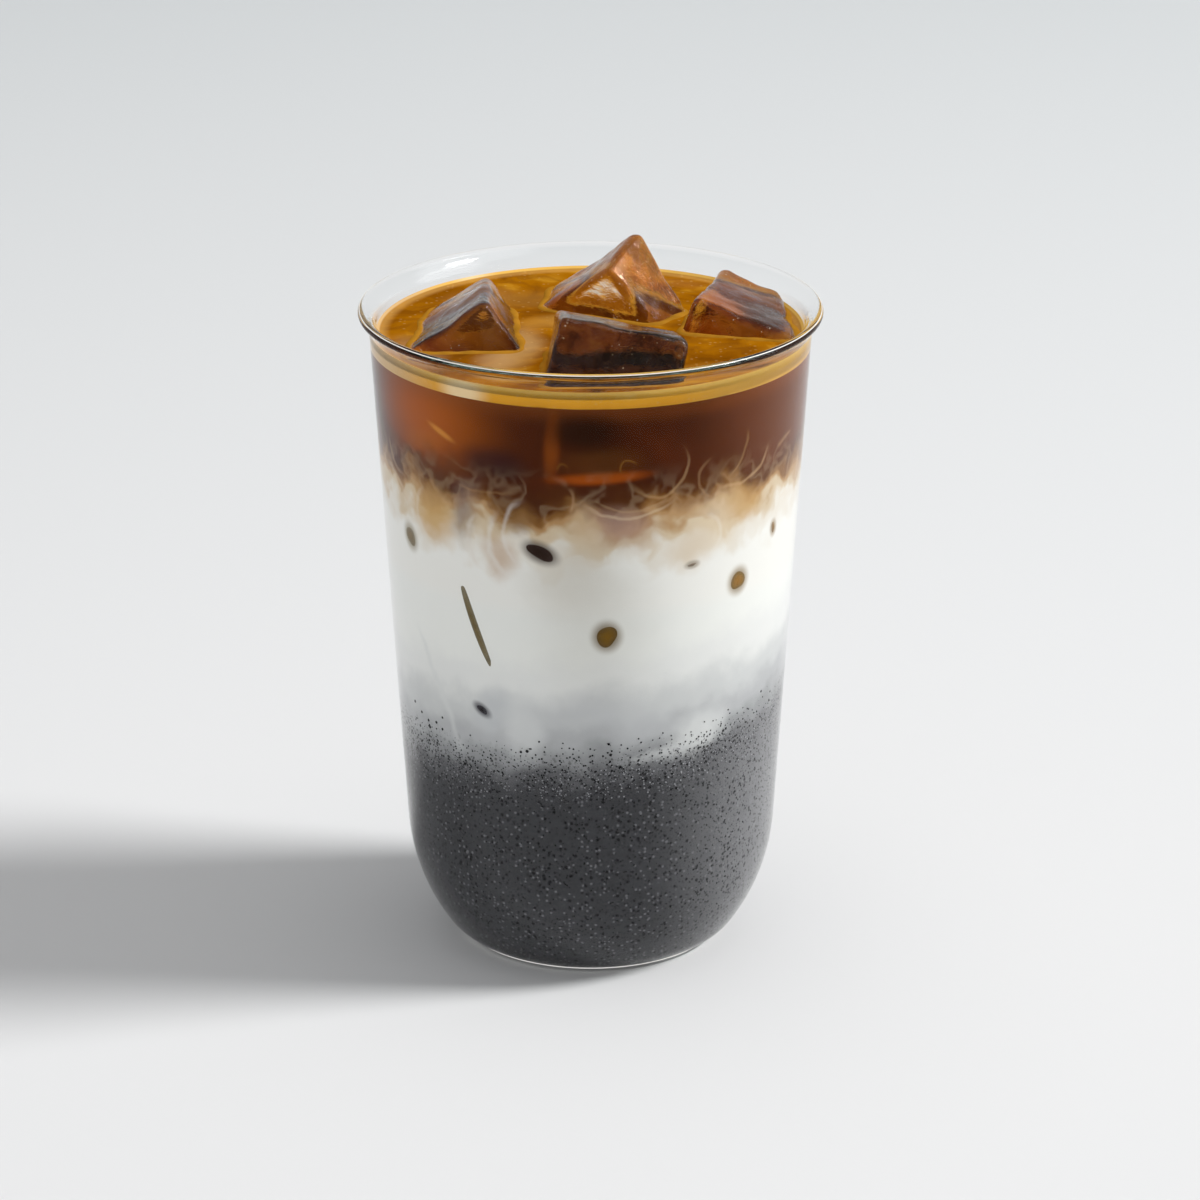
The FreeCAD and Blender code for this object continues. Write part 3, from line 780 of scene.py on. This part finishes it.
def crema_finish():
    """Coffee foam: gold on top and in the band against the wall, with painted highlights on the band."""
    nodes = Finish("crema")
    place = object_place(nodes)
    spot = nodes.group(GROUPS["place"], Place=place)
    top = crema_inside(nodes, place, spot)
    shift = nodes.times(nodes.less(nodes.noise(place, 5.0), 0.5), 1.6)
    height = nodes.plus(spot["Up"], shift)
    band = nodes.ramp(nodes.step(height, 114.9, 117.9, smooth=False), (
        (0.00, "#8a4c16"), (0.16, "#dd9a2c"), (0.60, "#eaa630"), (0.85, "#efb448"), (1.00, "#f2c060"),
    ))
    # painted light on the band: a pale painted highlight on the left, paler gold on the key lamp's side to
    # the right, and a painted glint
    side = nodes.mix(nodes.step(spot["Across"], -26.0, -44.0), band, "#d8b27c")
    side = nodes.mix(nodes.times(nodes.step(spot["Across"], 12.0, 30.0), 0.6), side, "#dcae58")
    painted_band_highlight = nodes.oval(nodes.joined(spot["Across"], spot["Up"], 0.0), (-23.5, 116.5), (5.0, 3.0), 0, 0.8)
    side = nodes.mix(painted_band_highlight, side, "#ffe6b8")
    colour = nodes.mix(nodes.step(spot["Depth"], 0.55, 0.25), top, side)
    bubbles = nodes.group(GROUPS["specks"], Place=place, Size=0.9, Amount=0.16)["Mask"]
    colour = nodes.mix(nodes.times(bubbles, 0.18), colour, "#e2b772")
    foam = nodes.plus(nodes.noise(place, 1.2, detail=4), nodes.times(bubbles, 0.4))
    return nodes.coat(Base_Color=colour, Roughness=0.38, Specular_IOR_Level=0.0,
                      Normal=nodes.bump(foam, 0.25, 0.0003))


# Pools and rings on the crema: place from the axis and half sizes in mm, tilt, colour, strength.
POOLS = (
    ((-13.5, -12.0), (4.5, 13.0), -8, "#c9a068", 0.60),
    ((-17.0, -19.0), (4.0, 5.0), 0, "#b3895a", 0.60),
    ((-4.0, 6.0), (9.0, 4.0), 20, "#c08a3c", 0.60),
    ((-12.0, 19.0), (9.0, 5.0), 10, "#9a6a2c", 0.55),
    ((-22.0, 20.0), (7.0, 5.0), 35, "#a9743a", 0.50),
    ((28.0, -20.0), (6.5, 2.0), 24, "#4a2a10", 0.70),
    ((22.0, -24.0), (8.0, 4.0), 10, "#c98a2a", 0.50),
    ((-31.0, -14.0), (4.0, 10.0), 20, "#a88058", 0.60),
    ((14.0, 30.0), (9.0, 3.0), -15, "#a5672a", 0.50),
)


# ---------------------------------------------------------------- pieces
def make_tumbler(section):
    tumbler = lathe("tumbler", section.glass())
    tumbler.data.materials.append(glass_finish("clear glass", 0.12, 1.47))
    tumbler.data.materials.append(glass_finish("clear glass of the lip", 1.0, 1.22))
    for face in tumbler.data.polygons:
        face.material_index = int(face.center.z > section.height - LIP_BAND)
    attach(tumbler, "root")
    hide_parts("glass")


def painted_glow_thread(name, radius, height, thick, finish):
    """A thin turned thread that glows, a painted glint where an edge of the glass would gather the light."""
    points = [(radius + thick * math.cos(angle), height + thick * math.sin(angle)) for angle in ROUND]
    rows = [[turned(out, 2 * math.pi * i / TURNS, up) for out, up in points] for i in range(TURNS)]
    piece = ring_piece(name, rows, finish)
    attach(piece, "root")


def painted_glow_finish(name, glow):
    """Painted light: a glowing finish in place of the light an edge of the glass gathers, a little uneven
    along it.
    """
    nodes = Finish(name)
    uneven = nodes.mix(nodes.noise(object_place(nodes), 9.0), "#f4f2ee", "#c9c8c4")
    return nodes.coat(Base_Color=uneven, Roughness=0.25, Emission_Color=uneven, Emission_Strength=glow)


def make_painted_glows(section):
    """Painted glints: thin glowing threads along the lip and round the foot."""
    lean = math.radians(50)
    lip = (section.bead[0] + 0.70 * MM * math.cos(lean), section.bead[1] + 0.70 * MM * math.sin(lean))
    # painted light: the lip's thread and the foot's thread glow by their own emission
    painted_glow_thread("lip_edge", *lip, 0.10 * MM, painted_glow_finish("painted glow of the lip", 0.25))
    wall = section.lower(0, 0)
    foot = float(np.interp(0.9 * MM, [p[1] for p in wall], [p[0] for p in wall]))
    painted_glow_thread("foot_edge", foot, 0.9 * MM, 0.16 * MM, painted_glow_finish("painted glow of the foot", 0.5))


def layer_points(section, low, high, meniscus=0.0):
    """The half section of the drink between two levels, reaching a bite into the wall."""
    levels = [low + (high - low) * i / 24 for i in range(25)]
    side = [(section.inner_radius(z) + BITE, z) for z in levels]
    if low <= section.floor + 1e-6:
        foot = [p for p in section.lower(WALL - BITE, section.floor - BITE) if p[1] < high]
        side = foot + [p for p in side if p[1] > foot[-1][1]]
    if meniscus:
        reach = 1.5 * MM
        edge = side[-1][0]
        side[-1] = (edge, high)
        top = [(edge - reach * s, high + meniscus * (1 - s) ** 2) for s in np.linspace(0, 1, 9)]
    else:
        top = [(side[-1][0] * s, high) for s in (0.75, 0.5, 0.25)]
    return [(0, side[0][1])] + side + top + [(0, high)]


def make_ice(node, finish):
    """A block carved out of the frame's: rounded by melting, with uneven faces."""
    block = new_object(node + "_clear", bpy.data.objects[node].data.copy())
    weld = block.modifiers.new("weld", "WELD")
    weld.merge_threshold = 0.01 * MM
    remesh = block.modifiers.new("even mesh", "REMESH")
    remesh.mode = "VOXEL"
    remesh.voxel_size = 0.38 * MM
    soften = block.modifiers.new("soften", "SMOOTH")
    soften.iterations = 2
    plain_mesh(block)
    seed = sum(map(ord, node))
    centre = sum((Vector(c) for c in block.bound_box), Vector()) / 8
    mesh = block.data
    normals = [v.normal.copy() for v in mesh.vertices]
    for vertex, normal in zip(mesh.vertices, normals):
        spot = (vertex.co - centre) / MM
        swell = noise.noise(spot / 9.0 + Vector((seed, 0, 0)))
        dent = noise.noise(spot / 3.6 + Vector((0, seed, 0)))
        pit = noise.noise(spot / 1.3 + Vector((0, 0, seed)))
        vertex.co += normal * (0.55 * swell + 0.22 * dent + 0.03 * pit) * MM
    mesh.shade_smooth()
    mesh.materials.clear()
    mesh.materials.append(finish)
    return block


def cut_round_ice(layer, blocks):
    """Takes the ice out of a layer, leaving the drink a bite inside each block's skin."""
    for block in blocks:
        tool = new_object("cutter", block.data.copy())
        shrink = tool.modifiers.new("shrink", "DISPLACE")
        shrink.strength = -BITE
        shrink.mid_level = 0.0
        plain_mesh(tool)
        cut = layer.modifiers.new("cut", "BOOLEAN")
        cut.operation = "DIFFERENCE"
        cut.solver = "EXACT"
        cut.object = tool
        plain_mesh(layer)
        bpy.data.objects.remove(tool)
    layer.data.shade_smooth()
    layer.data.set_sharp_from_angle(angle=math.radians(35))


def foam_ring(block, level, finish):
    """The bead of foam where the crema climbs a block, along the block's waterline."""
    work = bmesh.new()
    work.from_mesh(block.data)
    bmesh.ops.bisect_plane(work, geom=work.verts[:] + work.edges[:] + work.faces[:], dist=1e-7,
                           plane_co=(0, 0, level), plane_no=(0, 0, 1), clear_inner=True, clear_outer=True)
    start = max(work.verts, key=lambda v: v.co.x)
    loop, last = [start], None
    while True:
        after = [e.other_vert(loop[-1]) for e in loop[-1].link_edges]
        after = [v for v in after if v is not last and v not in loop[1:]]
        if not after or after[0] is start:
            break
        last = loop[-1]
        loop.append(after[0])
    line = np.array([tuple(v.co) for v in loop])
    work.free()
    steps = np.concatenate([[0], np.cumsum(np.linalg.norm(np.diff(line, axis=0, append=line[:1]), axis=1))])
    closed = np.vstack([line, line[:1]])
    count = 140
    even = np.stack([np.interp(np.linspace(0, steps[-1], count, endpoint=False), steps, closed[:, i])
                     for i in range(3)], axis=1)
    for _ in range(6):
        even = (np.roll(even, 1, axis=0) + 2 * even + np.roll(even, -1, axis=0)) / 4
    ahead = np.roll(even, -1, axis=0) - np.roll(even, 1, axis=0)
    ahead /= np.linalg.norm(ahead, axis=1)[:, None]
    sideways = np.stack([ahead[:, 1], -ahead[:, 0], 0 * ahead[:, 0]], axis=1)
    if np.dot(sideways[0], even[0] - even.mean(axis=0)) < 0:
        sideways = -sideways
    rows = []
    for point, out in zip(even, sideways):
        swell = 1 + 0.5 * noise.noise(Vector(point) / (3.0 * MM))
        row = []
        for angle in ROUND:
            spot = point + out * (0.15 * MM + 0.85 * MM * swell * math.cos(angle))
            row.append((spot[0], spot[1], level - 0.08 * MM + 0.34 * MM * swell * math.sin(angle)))
        rows.append(row)
    return ring_piece(block.name.replace("_clear", "_foam"), rows, finish)


def on_wall(place, out=0.0):
    """The point at (degrees, mm) on the drink's skin, moved out by that much."""
    height = place[1] * MM
    return Vector(turned(section.inner_radius(height) + BITE + out, math.radians(place[0]), height))


def make_sunk_ice(finish):
    """The tips of the sunk ice: lens-shaped lumps and a sliver that just touch the wall."""
    work = bmesh.new()
    tints = work.verts.layers.float_color.new("tint")
    rings, turns = 7, 28
    for index, (place, half, tilt, heart, edge) in enumerate(SUNK_ICE):
        turn = math.radians(tilt)
        centre_tint, edge_tint = (np.array(paint(tone)) for tone in (heart, edge))
        for side, bulge in ((1, 0.10 * MM), (-1, 1.3 * MM)):
            rows = []
            for ring in range(rings + 1):
                share = ring / rings
                row = []
                for step in range(turns if ring else 1):
                    angle = 2 * math.pi * step / turns
                    wobble = 1 + 0.09 * math.sin(2 * angle + index) + 0.06 * math.sin(3 * angle + 2 * index)
                    reach = math.cos(angle)
                    if half[1] > SLIVER:
                        reach = math.copysign(abs(reach) ** 0.45, reach)
                    x = half[0] * share * wobble * reach
                    y = half[1] * share * wobble * math.sin(angle)
                    x -= 0.5 * (1 - (y / half[1]) ** 2) if half[1] > SLIVER else 0
                    across = place[0] + (x * math.cos(turn) - y * math.sin(turn)) / DEGREE
                    up = place[1] + x * math.sin(turn) + y * math.cos(turn)
                    vert = work.verts.new(on_wall((across, up), side * bulge * (1 - share ** 4)))
                    vert[tints] = centre_tint + (edge_tint - centre_tint) * min(1, share * 1.15) ** 2
                    row.append(vert)
                rows.append(row)
            stitch(work, rows)
    bmesh.ops.remove_doubles(work, verts=work.verts, dist=0.004 * MM)
    bmesh.ops.recalc_face_normals(work, faces=work.faces)
    piece = finished("sunk_ice", work, sharp=80)
    piece.data.materials.append(finish)
    return piece


# ---------------------------------------------------------------- scattering by Geometry Nodes
def scatter_tree(name):
    """A tree that scatters small round grains over a surface, thickest where a noise and a band say."""
    tree = bpy.data.node_groups.new(name, "GeometryNodeTree")
    face = tree.interface
    face.new_socket("Geometry", in_out="INPUT", socket_type="NodeSocketGeometry")
    for label, start in (("Density", 1.0), ("Smallest", 0.1), ("Largest", 0.3), ("Sunk", 0.0),
                         ("Low", 0.0), ("Full From", 0.0), ("Full To", 0.0), ("High", 0.0),
                         ("Patch Size", 5.0), ("Patchy", 0.5), ("Lean", 0.0)):
        face.new_socket(label, in_out="INPUT", socket_type="NodeSocketFloat").default_value = start
    face.new_socket("Seed", in_out="INPUT", socket_type="NodeSocketInt").default_value = 1
    face.new_socket("Finish", in_out="INPUT", socket_type="NodeSocketMaterial")
    face.new_socket("Geometry", in_out="OUTPUT", socket_type="NodeSocketGeometry")

    nodes = Tree(tree)

    def add(kind, **inputs):
        return nodes.fill(nodes.add(kind), **inputs)

    given = nodes.add("NodeGroupInput").outputs
    place = nodes.add("GeometryNodeInputPosition").outputs[0]
    x, _, z = nodes.split(place)
    height = nodes.less(z, nodes.times(x, given["Lean"]))
    rise = add("ShaderNodeMapRange", Value=height, From_Min=given["Low"], From_Max=given["Full From"])
    fall = add("ShaderNodeMapRange", Value=height, From_Min=given["High"], From_Max=given["Full To"])
    patch = add("ShaderNodeTexNoise", Vector=place, Scale=nodes.maths("DIVIDE", 1.0, given["Patch Size"]),
                Detail=2.0)
    patchy = add("ShaderNodeMapRange", Value=patch.outputs[0], From_Min=0.35, From_Max=0.65,
                 To_Min=nodes.less(1.0, given["Patchy"]), To_Max=nodes.plus(1.0, given["Patchy"]))
    band = nodes.times(rise.outputs[0], fall.outputs[0])
    density = nodes.times(nodes.times(band, patchy.outputs[0]), given["Density"])
    points = add("GeometryNodeDistributePointsOnFaces", Mesh=given["Geometry"], Density=density,
                 Seed=given["Seed"])
    spread = add("FunctionNodeRandomValue", Min=0.0, Max=1.0, Seed=given["Seed"])
    inward = nodes.scaled(points.outputs["Normal"],
                          nodes.times(spread.outputs[1], nodes.times(given["Sunk"], -1.0)))
    moved = add("GeometryNodeSetPosition", Geometry=points.outputs["Points"], Offset=inward)
    grain = add("GeometryNodeMeshIcoSphere", Radius=1.0, Subdivisions=1)
    size = add("FunctionNodeRandomValue", Min=given["Smallest"], Max=given["Largest"],
               Seed=nodes.plus(given["Seed"], 7))
    turn = add("FunctionNodeRandomValue", Seed=nodes.plus(given["Seed"], 13))
    turn.data_type = "FLOAT_VECTOR"
    turn.inputs["Max"].default_value = (6.28, 6.28, 6.28)
    placed = add("GeometryNodeInstanceOnPoints", Points=moved.outputs[0], Instance=grain.outputs["Mesh"],
                 Scale=size.outputs[1], Rotation=turn.outputs[0])
    real = add("GeometryNodeRealizeInstances", Geometry=placed.outputs[0])
    smooth = add("GeometryNodeSetShadeSmooth", Geometry=real.outputs[0])
    dressed = add("GeometryNodeSetMaterial", Geometry=smooth.outputs[0], Material=given["Finish"])
    nodes.feed(nodes.add("NodeGroupOutput").inputs[0], dressed.outputs[0])
    return tree


def scatter(name, surface, tree, finish, **sizes):
    """Grains on a surface as one plain mesh."""
    piece = new_object(name, surface.copy())
    modifier = piece.modifiers.new("scatter", "NODES")
    modifier.node_group = tree
    for item in tree.interface.items_tree:
        label = item.name.replace(" ", "_")
        if item.in_out == "INPUT" and label in sizes:
            modifier[item.identifier] = sizes[label]
        if item.in_out == "INPUT" and label == "Finish":
            modifier[item.identifier] = finish
    plain_mesh(piece)
    return piece


def wall_surface(low, high):
    """A copy of the drink's skin between two heights, to scatter on, with its outside up."""
    work = bmesh.new()
    turns, levels = 96, 40
    rows = []
    for level in range(levels + 1):
        height = low + (high - low) * level / levels
        rows.append([work.verts.new(on_wall((360 * i / turns, height / MM))) for i in range(turns)])
    stitch(work, rows)
    mesh = bpy.data.meshes.new("skin")
    work.to_mesh(mesh)
    work.free()
    return mesh


def make_specks(tree):
    """Ground sesame and bubbles against the wall, thickest where the grey meets the milk."""
    skin = wall_surface(6 * MM, 66 * MM)
    seeds = plain_finish("ground sesame", "#121214", 0.5, 0.2)
    pale = plain_finish("small bubbles", "#a9a9ad", 0.3, 0.3)
    common = {"Lean": 0.088, "Patch_Size": 7 * MM, "Patchy": 0.6}
    return [
        scatter("sesame_grains", skin, tree, seeds, Density=2000000.0, Smallest=0.06 * MM, Largest=0.21 * MM,
                Low=40 * MM, Full_From=44 * MM, Full_To=45 * MM, High=51 * MM,
                Sunk=-0.03 * MM, Seed=3, **common),
        scatter("sesame_dust", skin, tree, seeds, Density=560000.0, Smallest=0.06 * MM, Largest=0.21 * MM,
                Low=2 * MM, Full_From=6 * MM, Full_To=40 * MM, High=50 * MM,
                Sunk=-0.03 * MM, Seed=11, **common),
        scatter("pale_bubbles", skin, tree, pale, Density=1500000.0, Smallest=0.06 * MM, Largest=0.20 * MM,
                Low=38 * MM, Full_From=43 * MM, Full_To=44 * MM, High=49 * MM,
                Sunk=-0.03 * MM, Seed=5, **common),
        scatter("black_grains", skin, tree, seeds, Density=42000.0, Smallest=0.18 * MM, Largest=0.34 * MM,
                Low=41 * MM, Full_From=45 * MM, Full_To=46 * MM, High=56 * MM, Sunk=-0.05 * MM, Seed=17,
                Lean=0.0, Patch_Size=9 * MM, Patchy=1.0),
    ]


def make_air(tree, blocks):
    """Air bubbles frozen in under each block's skin."""
    white = plain_finish("frozen air", "#dcc8a8", 0.25, 0.5, mottle=0.1)
    made = []
    for seed, block in enumerate(blocks, start=21):
        made.append(scatter(
            block.name.replace("_clear", "_air"), block.data, tree, white, Density=70000.0,
            Smallest=0.04 * MM, Largest=0.15 * MM, Low=108 * MM, Full_From=112 * MM, Full_To=200 * MM,
            High=210 * MM, Sunk=1.6 * MM, Seed=seed, Patch_Size=3.5 * MM, Patchy=1.0))
    return made


# ---------------------------------------------------------------- stage
def make_stage():
    """A pale floor painted darker away from the glass as shade, a soft key lamp from the right and a pale
    surround, brighter on the left.
    """
    work = bmesh.new()
    bmesh.ops.create_grid(work, x_segments=2, y_segments=2, size=4.0)
    floor = finished("studio_floor", work)
    nodes = Finish("studio floor")
    place = nodes.add("ShaderNodeTexCoord").outputs["Object"]
    # painted shade: the floor darkens with distance from the glass
    away = nodes.vector("LENGTH", nodes.vector("SUBTRACT", place, (-0.02, -0.03, 0.0)))
    tone = nodes.mix(nodes.step(away, 0.12, 0.80, smooth=False), FLOOR_NEAR, FLOOR_DISTANT_SHADED)
    floor.data.materials.append(nodes.coat(Base_Color=tone, Roughness=0.7, Specular_IOR_Level=0.2))

    key = bpy.data.lights.new("key", "AREA")
    key.shape = "DISK"
    key.size = KEY_SIZE
    key.energy = KEY_POWER
    lamp = new_object("key", key)
    away = Vector((math.cos(KEY_HEIGHT), 0.0, math.sin(KEY_HEIGHT)))
    lamp.location = Vector((0, 0, 0.06)) + away * KEY_DISTANCE
    lamp.rotation_euler = (-away).to_track_quat("-Z", "Y").to_euler()

    world = bpy.data.worlds.new("surround")
    world.use_nodes = True
    nodes = Tree(world.node_tree)
    backdrop = world.node_tree.nodes["Background"]
    toward = nodes.add("ShaderNodeTexCoord").outputs["Generated"]
    x, y, z = nodes.split(toward)
    left = nodes.step(x, 0.3, -1.0)
    low = nodes.step(nodes.maths("ABSOLUTE", z), 0.75, 0.1)
    fill = nodes.times(nodes.times(left, low), SURROUND_LEFT)
    light = nodes.plus(fill, SURROUND)
    seen = nodes.maths("MULTIPLY_ADD", nodes.step(y, 0.0, -0.7), -0.20, 0.60)
    for middle, inner, outer, power in SOFTBOXES:
        near = nodes.vector("DOT_PRODUCT", toward, Vector(middle).normalized())
        seen = nodes.plus(seen, nodes.times(nodes.step(near, outer, inner), power))
    path = nodes.add("ShaderNodeLightPath").outputs
    mirrored = nodes.maths("MAXIMUM", path["Is Glossy Ray"], path["Is Transmission Ray"])
    nodes.feed(backdrop.inputs["Color"], (0.975, 0.985, 1.0, 1))
    nodes.feed(backdrop.inputs["Strength"], nodes.mix_value(light, seen, mirrored))
    bpy.context.scene.world = world


def make_camera():
    camera = bpy.data.cameras.new("camera")
    camera.lens = LENS
    camera.sensor_width = 36.0
    camera.clip_start = 0.01
    viewer = new_object("camera", camera)
    away = Vector((0, -math.cos(LOOK_DOWN), math.sin(LOOK_DOWN)))
    viewer.location = Vector(LOOK_AT) + away * LOOK_FROM_DISTANCE
    viewer.rotation_euler = (math.pi / 2 - LOOK_DOWN, 0, 0)
    bpy.context.scene.camera = viewer


# ---------------------------------------------------------------- the whole
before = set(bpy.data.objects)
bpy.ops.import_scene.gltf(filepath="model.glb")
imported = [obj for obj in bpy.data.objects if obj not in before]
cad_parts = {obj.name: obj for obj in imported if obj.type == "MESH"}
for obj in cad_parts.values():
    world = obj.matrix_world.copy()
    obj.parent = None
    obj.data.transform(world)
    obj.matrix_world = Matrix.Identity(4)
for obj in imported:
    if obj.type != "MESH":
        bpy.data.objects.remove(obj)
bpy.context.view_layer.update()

glass_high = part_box("glass")[1]
section = Section(glass_high[2], glass_high[0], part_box("sesame")[0][2])
GROUPS = {
    "place": place_group(),
    "stirred": swirl_group(),
    "oval": spot_group(),
    "curl": curl_group(),
    "specks": speck_group(),
}
GROUPS["column"] = column_group()

make_tumbler(section)
make_painted_glows(section)
STAINS = {
    "ice_left": (24.0, "#d8bc94"),
    "ice_back": (3.0, "#f4e2c4"),
    "ice_right": (24.0, "#d8bc94"),
    "ice_front": (250.0, "#98804c"),
}
blocks = [make_ice(node, ice_finish(node.replace("_", " "), *stain)) for node, stain in STAINS.items()]
for block in blocks:
    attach(block, "root")
    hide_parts(block.name.replace("_clear", ""))

finishes = {
    "sesame": sesame_finish(),
    "milk": drink_finish("milk", milk_inside),
    "coffee": drink_finish("coffee", coffee_inside, roughness=0.3),
    "crema": crema_finish(),
}
for layer, finish in finishes.items():
    low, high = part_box(layer)
    top = high[2] if layer != "crema" else DRINK_LEVEL
    meniscus = high[2] - top
    piece = lathe(layer + "_layer", layer_points(section, low[2], top, meniscus))
    if layer in ("coffee", "crema"):
        cut_round_ice(piece, blocks)
    piece.data.materials.clear()
    piece.data.materials.append(finish)
    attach(piece, "root")
    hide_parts(layer)

grains = scatter_tree("scattered grains")
extras = {
    "milk": [make_sunk_ice(sunk_ice_finish())],
    "sesame": make_specks(grains),
    "ice": make_air(grains, blocks),
}
foam = plain_finish("foam round the ice", "#c48828", 0.4, 0.0, mottle=0.55, size=3.0)
extras["crema"] = [foam_ring(block, DRINK_LEVEL, foam) for block in blocks]
for slot, pieces in extras.items():
    for piece in pieces:
        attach(piece, "root")

make_stage()
make_camera()
bpy.context.scene.view_settings.view_transform = "Standard"
cycles = bpy.context.scene.cycles
cycles.diffuse_bounces = 3
cycles.glossy_bounces = 10
cycles.transmission_bounces = 16
cycles.max_bounces = 18
